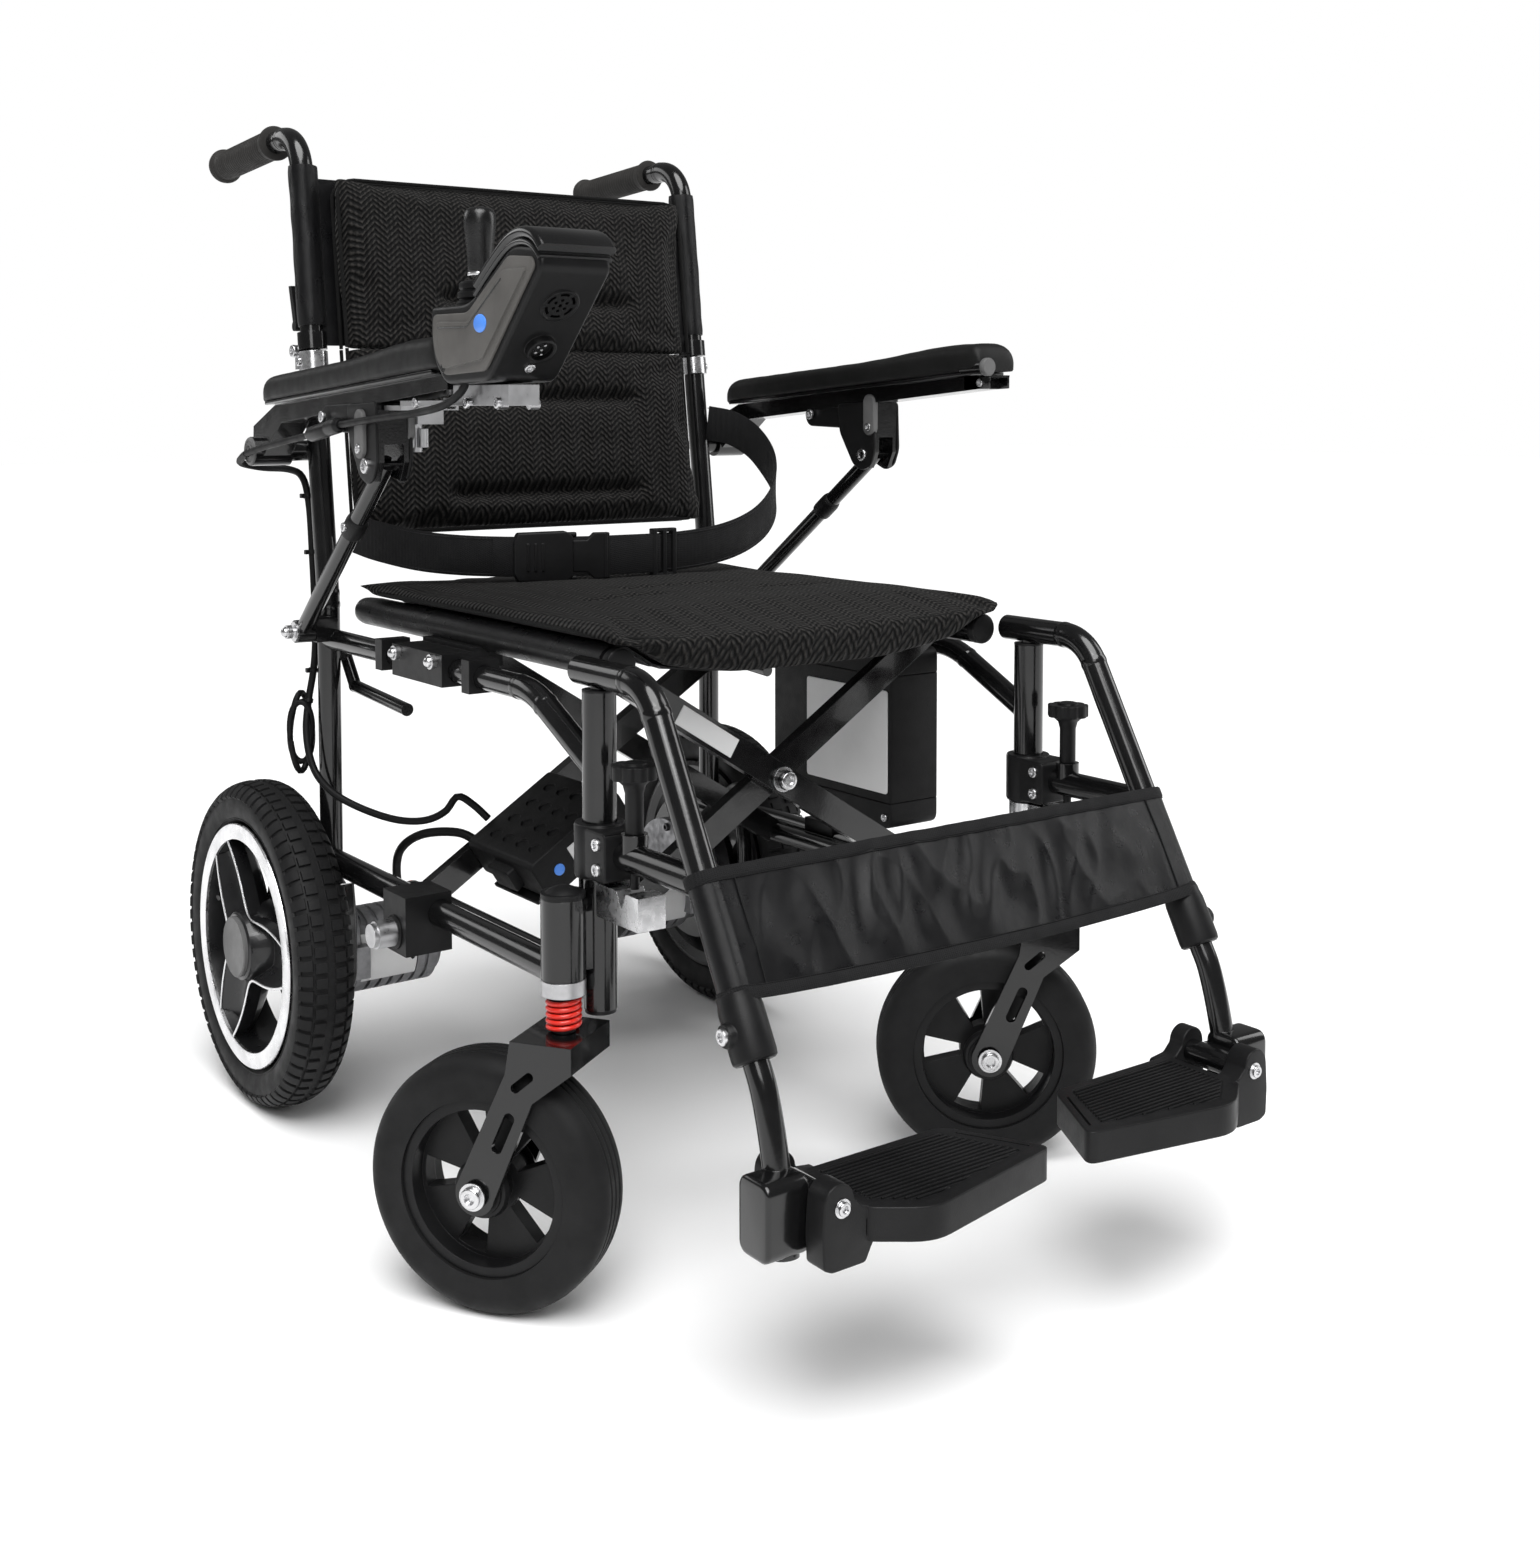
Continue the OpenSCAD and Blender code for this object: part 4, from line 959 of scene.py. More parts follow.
def make_seat_sling():
    low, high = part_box("seat_sling")
    rows = 40
    rail, wrap = 0.190, 0.0132
    section = [(rail + wrap * math.cos(a), 0.488 + wrap * math.sin(a)) for a in np.linspace(-2.2, 1.75, 14)]
    span = [(x, sling_z(x) - 0.001) for x in np.linspace(0.176, 0, 16)]
    half = section + span
    section = half + [(-x, z) for x, z in half[-2::-1]]
    top, under = [], []
    for i in range(rows):
        y = low.y + (high.y - low.y) * i / (rows - 1)
        for x, z in section:
            sag = 0.0016 * ripple((x, y, 0), 22, 1.7) if abs(x) < 0.16 else 0
            top.append((x, y, z + sag - (0.001 if abs(x) < 0.16 else 0)))
            centre = Vector((math.copysign(rail, x) - x, 0.488 - z)) if abs(x) > 0.17 \
                else Vector((0, -1))
            inward = centre.normalized() * 1.5 * MM
            under.append((x + inward.x, y, top[-1][2] + inward.y))
    sling = add("seat_sling_dressed", shell_between(top, under, len(section), rows), "sling_nylon",
                replaces="seat_sling", limit=60)
    hems = []
    for y in (low.y + 0.004, low.y + 0.02, high.y - 0.004, high.y - 0.02):
        line = [(x, y, sling_z(x) - 0.0031) for x in np.linspace(-0.17, 0.17, 40)]
        hems.append(sweep(line, ring(0.6, 6)))
    hem = add("seat_sling_stitches", joined(hems), "thread", slot="sling_nylon")
    for piece in (sling, hem):
        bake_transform(piece)


def sleeve(side):
    """Fabric sleeve of the back sling round one back tube, creased where it is pulled."""
    k = -1 if side == "r" else 1
    columns, rows = 30, 34
    outer, inner = [], []
    for i in range(rows):
        h = HINGE_H + 0.0245 + 0.158 * i / (rows - 1)
        for j in range(columns):
            a = math.tau * j / columns
            crease = 0.0007 * ripple((math.cos(a) * 0.02, math.sin(a) * 0.02, h * 0.6), 85, 2.2)
            end = 0.0004 if i in (0, rows - 1) else 0
            r = 0.0131 + crease - end
            pull = 0.003 * max(0, -math.cos(a) * k) ** 3
            outer.append((k * POST_X + math.cos(a) * (r + pull), math.sin(a) * r, h))
            inner.append((k * POST_X + math.cos(a) * 0.0114, math.sin(a) * 0.0114, h))
    n = columns * rows
    faces = grid_faces(rows, columns, close_columns=True)
    faces += [tuple(n + q for q in reversed(f)) for f in faces]
    for row in (0, rows - 1):
        faces += [(row * columns + j, row * columns + (j + 1) % columns, n + row * columns
                   + (j + 1) % columns, n + row * columns + j) for j in range(columns)]
    mesh = outward(mesh_of(outer + inner, faces))
    mesh.transform(LEANING)
    return mesh


def make_back_sling():
    low, high = HINGE_H + 0.005, 0.413

    def place(u, t):
        x, h = -0.2145 + 0.429 * u, low + (high - low) * t
        wave = 0.0012 * ripple((x, 0, h), 18, 8.8)
        return (x, -0.0046 + wave, h), (x, -0.0028 + wave, h)

    mesh = shell(60, 30, place)
    mesh.transform(LEANING)
    sling = add("back_sling_dressed", mesh, "sling_nylon", "back_r", replaces="back_sling", limit=60)
    seams = []
    for h in (low + 0.004, low + 0.018, high - 0.004, high - 0.018):
        line = [LEANING @ Vector((x, -0.0022, h)) for x in np.linspace(-0.21, 0.21, 30)]
        seams.append(sweep(line, ring(0.6, 6)))
    stitches = add("back_sling_stitches", joined(seams), "thread", "back_r", slot="sling_nylon")
    for piece in (sling, stitches):
        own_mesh(piece)
    for side in "rl":
        add(f"back_sling_sleeve_{side}", sleeve(side), "sling_nylon", f"back_{side}", limit=60)


LEG_SLOPE = math.radians(61)
ALONG_LEG = Vector((0, -math.cos(LEG_SLOPE), -math.sin(LEG_SLOPE)))
OFF_LEG = Vector((0, -math.sin(LEG_SLOPE), math.cos(LEG_SLOPE)))


def on_leg(x, z, off):
    """A point off the sloping leg tubes' plane, at the height z along them."""
    return Vector((x, -0.318 - (0.487 - z) / math.tan(LEG_SLOPE), z)) + OFF_LEG * off


def make_calf_strap():
    low_z, high_z = 0.286, 0.361
    tube = 0.0118

    def place(s, t, more=0.0):
        """s runs along the strap with its ends wrapped round the tubes, t up it."""
        reach = POST_X
        z = low_z + (high_z - low_z) * t
        over = abs(s) - reach
        if over <= 0:
            middle = math.cos(math.pi * s / (2 * reach)) ** 0.5
            folds = 0.0095 * (0.35 - abs(ripple((s, 0, z * 0.8 + s * 0.4), 17, 4.4))) \
                + 0.005 * (0.3 - abs(ripple((s, 0, z * 0.9 - s * 0.6), 33, 9.1)))
            edge = math.sin(math.pi * t) ** 0.5 if 0 < t < 1 else 0.0
            off = tube + 0.002 + middle * (folds * (0.25 + 0.75 * edge) + 0.001 * edge)
            z -= 0.006 * middle * (1 - t)
            return on_leg(s, z, off + more)
        a = over / tube
        side = math.copysign(1, s)
        return on_leg(side * (reach + math.sin(a) * (tube + 0.0012 + more)), z,
                      math.cos(a) * (tube + 0.0012 + more))

    ends = POST_X + tube * 2.9

    def both(u, t):
        return [place(-ends + 2 * ends * u, t, more) for more in (0, -0.0011)]

    strap = add("calf_strap_dressed", shell(260, 44, both), "sling_nylon", "hanger_l",
                replaces="calf_strap", limit=60)
    trims = []
    for t in (0.02, 0.98):
        line = [place(s, t, 0.0002) for s in np.linspace(-ends, ends, 140)]
        trims.append(sweep(line, band(9, 2.6, 4), up=OFF_LEG))
    for t, more in ((0.075, 0.0006), (0.925, 0.0006)):
        line = [place(s, t, more) for s in np.linspace(-ends, ends, 140)]
        trims.append(sweep(line, ring(0.45, 6)))
    for side in (-1, 1):
        line = [place(side * (POST_X - 0.016), t, 0.0005) for t in np.linspace(0.04, 0.96, 20)]
        trims.append(sweep(line, ring(0.5, 6)))
    binding = add("calf_strap_binding", joined(trims), "belt_webbing", "hanger_l", slot="sling_nylon")
    for piece in (strap, binding):
        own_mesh(piece)


BELT = [(-0.2125, 0.222, 0.566), (-0.204, 0.190, 0.560), (-0.180, 0.150, 0.552), (-0.150, 0.122, 0.548),
        (-0.110, 0.100, 0.546), (-0.060, 0.082, 0.545), (-0.010, 0.070, 0.545), (0.060, 0.066, 0.546),
        (0.125, 0.078, 0.552), (0.180, 0.100, 0.566), (0.217, 0.124, 0.588), (0.236, 0.152, 0.616),
        (0.240, 0.188, 0.645), (0.236, 0.226, 0.662), (0.228, 0.262, 0.668)]


def make_lap_belt():
    path = smooth_path(BELT, 0.005)
    strap = add("lap_belt_webbing", upright_belt(path, 38, 1.8), "belt_webbing", "frame_r",
                replaces="lap_belt", limit=50)
    second = [p + Vector((0.0, -0.0035, 0)) for p in path[int(len(path) * 0.22): int(len(path) * 0.47)]]
    doubled = add("lap_belt_free_end", upright_belt(second, 37, 1.6), "belt_webbing", "frame_r", limit=50)
    stitch_lines = []
    for h in (-0.0165, 0.0165):
        for shift in (-0.0012, 0.0012):
            stitch_lines.append(sweep([p + Vector((0, shift, h)) for p in path], ring(0.35, 5)))
    stitches = add("lap_belt_stitches", joined(stitch_lines), "thread", "frame_r", slot="belt_webbing")
    pieces = [strap, doubled, stitches] + make_buckle(path) + [make_slider(path)]
    for piece in pieces:
        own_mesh(piece)


def upright_belt(path, width, thickness):
    """Webbing that stands on edge along a level path."""
    outline = band(width, thickness, 4)
    points, n = [], len(path)
    for i, p in enumerate(path):
        t = (path[min(i + 1, n - 1)] - path[max(i - 1, 0)]).normalized()
        side = Vector((t.y, -t.x, 0)).normalized()
        rise = (UP - t * t.z).normalized()
        points += [p + rise * a + side * b for a, b in outline]
    return outward(mesh_of(points, tube_faces(n, len(outline))))


def at_path(path, share):
    """A frame on the belt: its origin, with X along it, Y out of its face and Z up."""
    i = int(len(path) * share)
    along = (path[i + 1] - path[i - 1])
    along.z = 0
    along.normalize()
    out = Vector((along.y, -along.x, 0))
    m = Matrix((along, out, UP)).transposed().to_4x4()
    m.translation = path[i]
    return m


def make_buckle(path):
    """Side-release buckle: female body, drawn without its two side openings, and the male prongs."""
    here = at_path(path, 0.29)
    body = extruded([(-26, -23), (20, -24), (26, -19), (26, 19), (20, 24), (-26, 23), (-30, 16),
                     (-30, -16)], -7, 7, 2, axis="Y")
    male = extruded([(26, -15), (40, -15), (47, -22), (62, -22), (62, 22), (47, 22), (40, 15), (26, 15)],
                    -4, 4, 1.2, axis="Y")
    prongs = [round_box((4, -4.5, k * 20.5 - 2.2), (30, 4.5, k * 20.5 + 2.2), 2, "X", 0.8) for k in (-1, 1)]
    ribs = [round_box((x, 6.6, -13), (x + 2.2, 8.4, 13), 0.6, "X", 0.3) for x in (-18, -11, -4)]
    # the radius is a trace more than half the width, so that the bevel still works
    bar = round_box((56, -5.5, -21), (60, 5.5, 21), 2.00001, "Z", 0.5)
    made = []
    for name, parts in (("belt_buckle_body", [body] + ribs), ("belt_buckle_insert", [male, bar] + prongs)):
        mesh = joined(parts)
        mesh.transform(here)
        made.append(add(name, mesh, "satin_black_plastic", "frame_r"))
    return made


def make_slider(path):
    """Three-bar slide that adjusts the belt."""
    here = at_path(path, 0.465)
    bars = [round_box((x, -5, -23), (x + 4.5, 5, 23), 1.8, "Z", 0.5) for x in (-13, -2, 9)]
    rails = [round_box((-13, -3.5, k * 21.5 - 2), (13.5, 3.5, k * 21.5 + 2), 1.6, "X", 0.5)
             for k in (-1, 1)]
    mesh = joined(bars + rails)
    mesh.transform(here)
    return add("belt_slider", mesh, "satin_black_plastic", "frame_r")


def make_soft_goods():
    make_back_cushion()
    make_seat_cushion()
    make_seat_sling()
    make_back_sling()
    make_calf_strap()
    make_lap_belt()


# ---------- arms and controls ----------

def arm_z(y):
    """Height of the armrests' underside at y."""
    return 0.688 + (0.250 - y) * math.tan(math.radians(4))


def cut(mesh, cutter):
    """Takes one closed mesh away from another."""
    tool = linked("cutter", cutter)
    made = applied(mesh, "BOOLEAN", operation="DIFFERENCE", solver="EXACT", object=tool)
    bpy.data.objects.remove(tool)
    return made


def rounded(outline, radius, count=5):
    """Rounds the corners of an outline; radius is one number or one for each corner."""
    made, n = [], len(outline)
    for i, corner in enumerate(outline):
        r = radius[i] if isinstance(radius, (list, tuple)) else radius
        p = Vector(corner)
        before, after = Vector(outline[i - 1]) - p, Vector(outline[(i + 1) % n]) - p
        reach = min(r, before.length * 0.45, after.length * 0.45)
        if reach < 1e-5:
            made.append(tuple(p))
            continue
        a, b = p + before.normalized() * reach, p + after.normalized() * reach
        for k in range(count + 1):
            t = k / count
            made.append(tuple(a * (1 - t) ** 2 + p * 2 * t * (1 - t) + b * t * t))
    return made


def make_arm_pad(side):
    front, rear = (-0.118 if side == "r" else -0.160), 0.252
    columns, rows = 40, 70
    points = []
    for i in range(rows):
        y = front - 0.003 + (rear - front + 0.003) * (0.5 - 0.5 * math.cos(math.pi * i / (rows - 1)))
        ends = max(0, min(y - front + 0.003, (rear - y) * 0.8))
        u = min(1, ends / 0.016)
        full = max(0.12, (1 - (1 - u) ** 2.4) ** 0.42)
        swell = 0.0045 * math.exp(-((y - front - 0.06) / 0.07) ** 2)
        half, height = 0.0245 * (0.72 + 0.28 * full) + swell * 0.2, (0.0255 + swell) * full
        for j in range(columns):
            a = math.tau * j / columns
            c, s = math.cos(a), math.sin(a)
            x = -0.267 + half * math.copysign(abs(c) ** 0.62, c)
            lift = 0.5 + 0.5 * math.copysign(abs(s) ** (0.72 if s > 0 else 0.3), s)
            worn = 0.0004 * ripple((x, y, lift * 0.03), 60, 1.4)
            points.append((x, y, arm_z(y) + 0.0022 + height * lift + worn))
    foam = outward(mesh_of(points, tube_faces(rows, columns)))
    side.add("arm_pad_dressed", foam, "arm_pad_foam", "armrest", replaces="arm_pad", limit=60)
    foot = [(y / MM, arm_z(y) / MM) for y in (front + 0.012, 0.246)]
    base = extruded(foot + [(y, z + 3.5) for y, z in foot[::-1]], -289, -245, 1.2, 2)
    side.add("arm_pad_base", base, "black_tube", "armrest")


def make_arm_hardware(side):
    bolts, pills = [], []
    for x, way, y, z in ((-288.5, -1, 31, 664), (-253.5, 1, 10, 678)):
        outline = arc((y, z + 12.5), 8.5, 0, 180, 12) + arc((y, z - 12.5), 8.5, 180, 360, 12)
        pills.append(extruded(outline, *sorted((x - way * 4, x + way * 2)), 1.2))
        for out, place, radius, height in ((1.5, (y, z - 12.5), 4.2, 2.2), (-2, (22, 637), 6.5, 4),
                                           (0.5, (107, 678), 5.2, 3.2)):
            spot = Vector((x + way * out, *place)) * MM
            bolts.append(bolt_head(spot, (way, 0, 0), radius, height))
    side.add("arm_buttons", joined(pills), "grey_plastic", "armrest", slot="silver_metal")
    side.add("arm_bolts", joined(bolts), "bright_hardware", "armrest")
    lobe = [(52, 690)] + arc((107, 677), 11.5, 75, -95, 12) + [(52, 664)]
    plate = extruded(lobe, -286.2, -254.8, 1.5, 3)
    shell = [(4, 691), (62, 689), (59, 660), (37, 627), (22, 621), (9, 626), (2, 642)]
    cheeks = [extruded(rounded(shell, 5), a, b, 1.1, 3) for a, b in ((-286.8, -283.8), (-256.2, -253.2))]
    side.add("arm_clevis", joined([plate] + cheeks), "satin_black_plastic", "armrest")
    cap = lathe([(0, 0), (13.5, 0), (13.5, 1.8), (12.5, 2.8), (10.5, 3), (10.2, 2.2), (6.5, 2.2),
                 (6, 3.4), (0, 3.6)], (-0.2875, 0.285, 0.644), OUT, 48)
    side.add("arm_pivot_cap", cap, "grey_plastic", "armrest", slot="satin_black_plastic")
    # the rail's open front end, with a plugged boss over it
    front = -0.118 if side == "r" else -0.150
    if side == "l":
        boss = lathe([(0, 0), (7.8, 0), (8.6, 1.2), (8.6, 4.5), (7.5, 6), (0, 6.2)],
                     (-0.251, -0.1625, 0.7235), FRONT, 32)
        stub = sweep([(-0.251, -0.135, 0.7225), (-0.251, -0.1628, 0.7235)], ring(8.2, 24))
        side.add("arm_front_cap", boss, "grey_plastic", "armrest", slot="satin_black_plastic")
        side.add("arm_front_stub", stub, "black_tube", "armrest")
        y, z = front / MM, arm_z(front) / MM - 6.5
        jaw = [(y - 14, z - 6), (y + 20, z - 7.5), (y + 20, z + 6.5), (y - 14, z + 6)]
        web = oblong(y - 14, z + 4.5, y + 20, z + 6.5)
        channel = [extruded(jaw, -281, -278.5, 0.6, 2), extruded(jaw, -256.5, -254, 0.6, 2),
                   extruded(web, -281, -254)]
        side.add("arm_channel", joined(channel), "black_tube", "armrest")
        screw = bolt_head(Vector((-254, y - 3, z - 0.5)) * MM, (1, 0, 0), 4, 2.5)
        side.add("arm_channel_screw", screw, "bright_hardware", "armrest")


def make_strut_trim(side):
    root, tip = Vector((-0.257, 0.239, 0.473)), Vector((-0.270, 0.022, 0.637))
    along = (tip - root).normalized()
    at = root + along * 0.170
    collar = lathe([(7.8, 0), (9.8, 1), (10.2, 4), (10.2, 18), (9.8, 21), (8.6, 24.5), (7.8, 25)],
                   at - along * 0.002, along, 40)
    side.add("strut_collar", collar, "satin_black_plastic", "strut")
    pin = bolt_head(at + along * 0.009 + Vector((-0.0095, 0, 0)), OUT, 4.2, 2.6)
    foot = lathe(disc(9.5, 0, 1.4, 4), (-0.2652, 0.239, 0.473), OUT, 32)
    side.add("strut_pins", joined([pin, foot]), "bright_hardware", "strut")


STICK = Vector((-0.267, -0.148, 0.765))
HOUSING = [(-124, 740), (-128, 723), (-147, 704), (-218, 706), (-299, 785), (-293, 799), (-255, 804),
           (-187, 764), (-124, 764)]


# the sloping face under the head: its own axes are across, up the slope and out of it
FACE = Matrix(((1, 0, 0), (0, -0.716, 0.698), (0, -0.698, -0.716))).transposed().to_4x4()
FACE.translation = (-0.269, -0.218, 0.706)


def on_face(profile, up, spot=(0, 0), steps=40):
    """A turned part that stands on the sloping face, up the slope by so many mm."""
    part = lathe(profile, (*spot, 0), UP, steps)
    part.transform(FACE @ Matrix.Translation((0, up * MM, 0)))
    return part


def make_grille():
    """A ring of six curved slots round seven holes."""
    holes = [lathe(disc(1.6, -2, 4), (0, 0, 0), UP, 14)]
    for a in range(30, 390, 60):
        inner = arc((0, 0), 9.5, a - 21, a + 21, 7)
        outer = arc((0, 0), 11.8, a + 21, a - 21, 7)
        holes.append(extruded(inner + outer, -2, 4, axis="Z"))
        spot = arc((0, 0), 0.0052, a, a, 1)[0]
        holes.append(lathe(disc(1.4, -2, 4), (*spot, 0), UP, 14))
    plate = lathe([(0, -1), (14.8, -1), (14.8, 1.2), (13.9, 1.8), (13.1, 0.8), (0, 0.8)], (0, 0, 0), UP, 56)
    plate = cut(plate, joined(holes))
    plate.transform(FACE @ Matrix.Translation((0, 0.0775, 0)))
    return plate


def make_joystick():
    """The housing, with a grille, a socket and a lid, and the stick in its bellows."""
    shell = extruded(rounded(HOUSING, [6, 8, 9, 9, 10, 9, 12, 14, 5]), -297.5, -240.5, 4.5, 5)
    well = lathe(disc(14.5, -12, 30), STICK, UP, 48)
    shell = cut(shell, joined([well, on_face(disc(12.5, -4, 10), 77.5)]))
    socket = on_face([(0, -1), (11.8, -1), (11.8, 2), (11.2, 5.2), (9.6, 5.8), (8.8, 5), (8.8, 1),
                      (0, 1)], 36, steps=48)
    spots = [(0, 0)] + [(0.0048 * math.cos(a), 0.0048 * math.sin(a)) for a in around(5)[1:]]
    pins = [on_face([(0, 1), (1.1, 1), (1.1, 4), (0, 4.2)], 36, spot=spot, steps=10) for spot in spots]
    screw = bolt_head((0, 0, 0), UP, 4.2, 2.2)
    screw.transform(FACE @ Matrix.Translation((0, 0.0145, -0.0004)))
    bellows = lathe([(14.6, -3), (17, -3), (18.5, -2), (18.5, 2.5), (15.8, 4.3), (17.6, 6), (17.6, 10),
                     (15.2, 11.8), (16.5, 13.4), (16.5, 17), (15, 18.4), (9, 20.2), (9, 19.4), (13.4, 18),
                     (14.6, 16)], STICK, UP, 56)
    add("joystick_housing_dressed", joined([shell, make_grille(), socket, bellows]),
        "joystick_case", "armrest_r", replaces="joystick_housing", limit=35)
    add("joystick_pins", joined(pins + [screw]), "bright_hardware", "armrest_r")
    # the outer side: a raised sloping band, and a lower facet; the band's groove is drawn below as a
    # painted shade line
    panel = [(-131, 758), (-188, 757.5), (-252, 796), (-286, 793), (-290, 786), (-216, 713.5),
             (-150, 711), (-135, 725), (-130, 741)]
    side = extruded(rounded(panel, 6), -299.5, -296.5, 1.2, 3)
    band_plate = [(-140, 752), (-191, 750), (-248, 786), (-281, 785), (-214, 722), (-150, 716)]
    raised = extruded(rounded(band_plate, 4), -301.3, -299, 1, 3)
    add("joystick_side_panel", joined([side, raised]), "panel_grey", "armrest_r",
        slot="joystick_case", limit=30)
    # the groove and the hole are not cut but drawn as dark raised marks on the panel: painted shade
    groove = sweep(mm([(-301.2, -143, 747.5), (-301.2, -190.5, 746.5), (-301.2, -245, 779.5)]),
                   ring(0.7, 6))
    hole_shade_disc = lathe(disc(3.6, 0, 0.6), (-0.2992, -0.1475, 0.7165), OUT, 24)
    add("joystick_painted_shade_lines", joined([groove, hole_shade_disc]), "stick_rubber", "armrest_r")
    dot = extruded([(-212.8 + 9.5 * math.cos(a), 748.5 + 6.8 * math.sin(a)) for a in around(40)], -302.1,
                   -300.8, 0.4, 2)
    add("joystick_dot", dot, "blue_dot", "armrest_r", slot="joystick_case")
    # glossy lid with a double rim, bent over the head
    run = [(-201, 777), (-216, 787.5), (-234, 799), (-250, 807.5), (-264, 811), (-278, 810.5),
           (-290, 806), (-299, 798)]
    lids = []
    for drop, wide, thick in ((0, 63.5, 8.5), (-6.6, 60.5, 5)):
        path = smooth_path(mm([(-269, y - drop * 0.45, z + drop) for y, z in run]), 0.003)
        lids.append(sweep(path, band(wide, thick, 8)))
    add("joystick_lid", joined(lids), "black_tube", "armrest_r", limit=50)
    knob = lathe([(0, 25), (9.4, 25), (9.7, 27), (9.8, 33), (10.4, 42), (11.4, 52), (12.3, 61),
                  (12.5, 66), (12.1, 70.4), (10.7, 73.4), (8.2, 75.2), (4.2, 76), (0, 76.1)], STICK, UP, 56)
    cone = lathe([(0, 19)] + [(19 * math.sin(a), 19 * math.cos(a)) for a in np.linspace(0.15, 0.58, 6)]
                 + [(9, 14), (0, 14)], STICK, UP, 40)
    stem = lathe(disc(4, 4, 26), STICK, UP, 24)
    add("joystick_knob", joined([knob, cone, stem]), "stick_rubber", "joystick_stick",
        replaces="joystick_stick", limit=50)
    collar = lathe([(4, 23), (9.4, 23), (9.9, 23.6), (9.9, 25.2), (9.4, 25.8), (4, 25.8)], STICK, UP, 48)
    add("joystick_collar", collar, "bright_hardware", "joystick_stick")
    # socket screws of the mounting rail
    z = arm_z(-0.03) - 0.0176
    heads = [bolt_head((x, y, z), (way, 0, 0), radius, height)
             for x, way, radius, height in ((-0.2545, 1, 4.5, 4), (-0.2795, -1, 4.2, 3))
             for y in (-0.2, -0.15, -0.06)]
    add("joystick_rail_screws", joined(heads), "bright_hardware", "armrest_r")


LEAD = mm([(-232, 286, 628), (-232, 281, 590), (-232, 275, 545), (-232, 271, 500), (-232, 270, 460),
           (-234, 271, 430), (-240, 270, 400), (-246, 262, 375), (-247, 252, 350), (-243, 240, 330),
           (-232, 222, 314), (-214, 195, 302), (-196, 165, 296), (-180, 140, 298), (-168, 122, 308),
           (-158, 116, 322)])


def make_leads():
    # round the armrest's hinge, then down behind the back post
    start = mm([(-292.5, 285, 642), (-291, 300, 638), (-286, 317, 632), (-263, 322, 627),
                (-241, 308, 625), (-234, 291, 617)])
    path = smooth_path(start + LEAD[1:] + mm([(-150, 100, 316), (-141, 87.5, 304)]), 0.005)
    loops = []
    for x, y, swing in ((-0.248, 0.270, 0.0), (-0.245, 0.277, 0.008)):
        line = [(x + 0.011 * math.cos(a) * (1 if swing else -1), y + 0.004 * math.sin(2 * a), 0.366
                 + swing + 0.034 * math.sin(a)) for a in around(14)]
        loops.append(sweep(smooth_path(line, 0.004, closed=True), ring(3, 10), closed=True))
    add("joystick_lead_dressed", joined([sweep(path, ring(3.5, 12))] + loops), "cable_sheath",
        "frame_r", replaces="joystick_lead", limit=60)
    ties = []
    for z in (0.600, 0.545, 0.485, 0.432, 0.400):
        near = min(range(len(path)), key=lambda i: abs(path[i].z - z) + (0 if path[i].y > 0.25 else 1))
        along = (path[near + 1] - path[near]).normalized()
        ties.append(lathe(disc(4.6, -2, 2, 3.3), path[near], along, 20))
        at = path[near] / MM
        ties.append(round_box(at + Vector((-7.5, -2.5, -2.2)), at + Vector((-3.5, 2.5, 2.2)), 1, "X", 0.4))
    add("lead_ties", joined(ties), "satin_black_plastic", "frame_r")
    short = smooth_path(mm([(-287, -165, 712), (-289, -158, 699), (-291, -130, 688), (-291, -80, 682),
                            (-291, -20, 678), (-291, 66, 671.6)]), 0.005)
    after = smooth_path(mm([(-291, 134, 661.7), (-292, 190, 655), (-293, 245, 648),
                            (-292.5, 285, 642)]), 0.005)
    add("joystick_short_lead",
        joined([sweep(short, ring(3.1, 12)), sweep(after, ring(3.1, 12))]), "cable_sheath",
        "armrest_r", limit=60)
    a, b = Vector((-0.291, 0.066, 0.6716)), Vector((-0.291, 0.136, 0.6614))
    along = (b - a).normalized()
    sleeve_cap = lathe([(3, 0), (4.6, 0), (6.6, 3), (6.9, 5), (6.9, 22), (6.3, 23.5), (6.3, 27),
                        (6.9, 28.5), (6.9, 62), (5, 68), (3, 71)], a, along, 32)
    add("lead_connector", sleeve_cap, "satin_black_plastic", "armrest_r", limit=35)


# ---------- leg rests ----------

def slope_at(z):
    """The point of the right leg tube at height z."""
    return Vector((-POST_X, -0.318 - (0.487 - z) / math.tan(LEG_SLOPE), z))


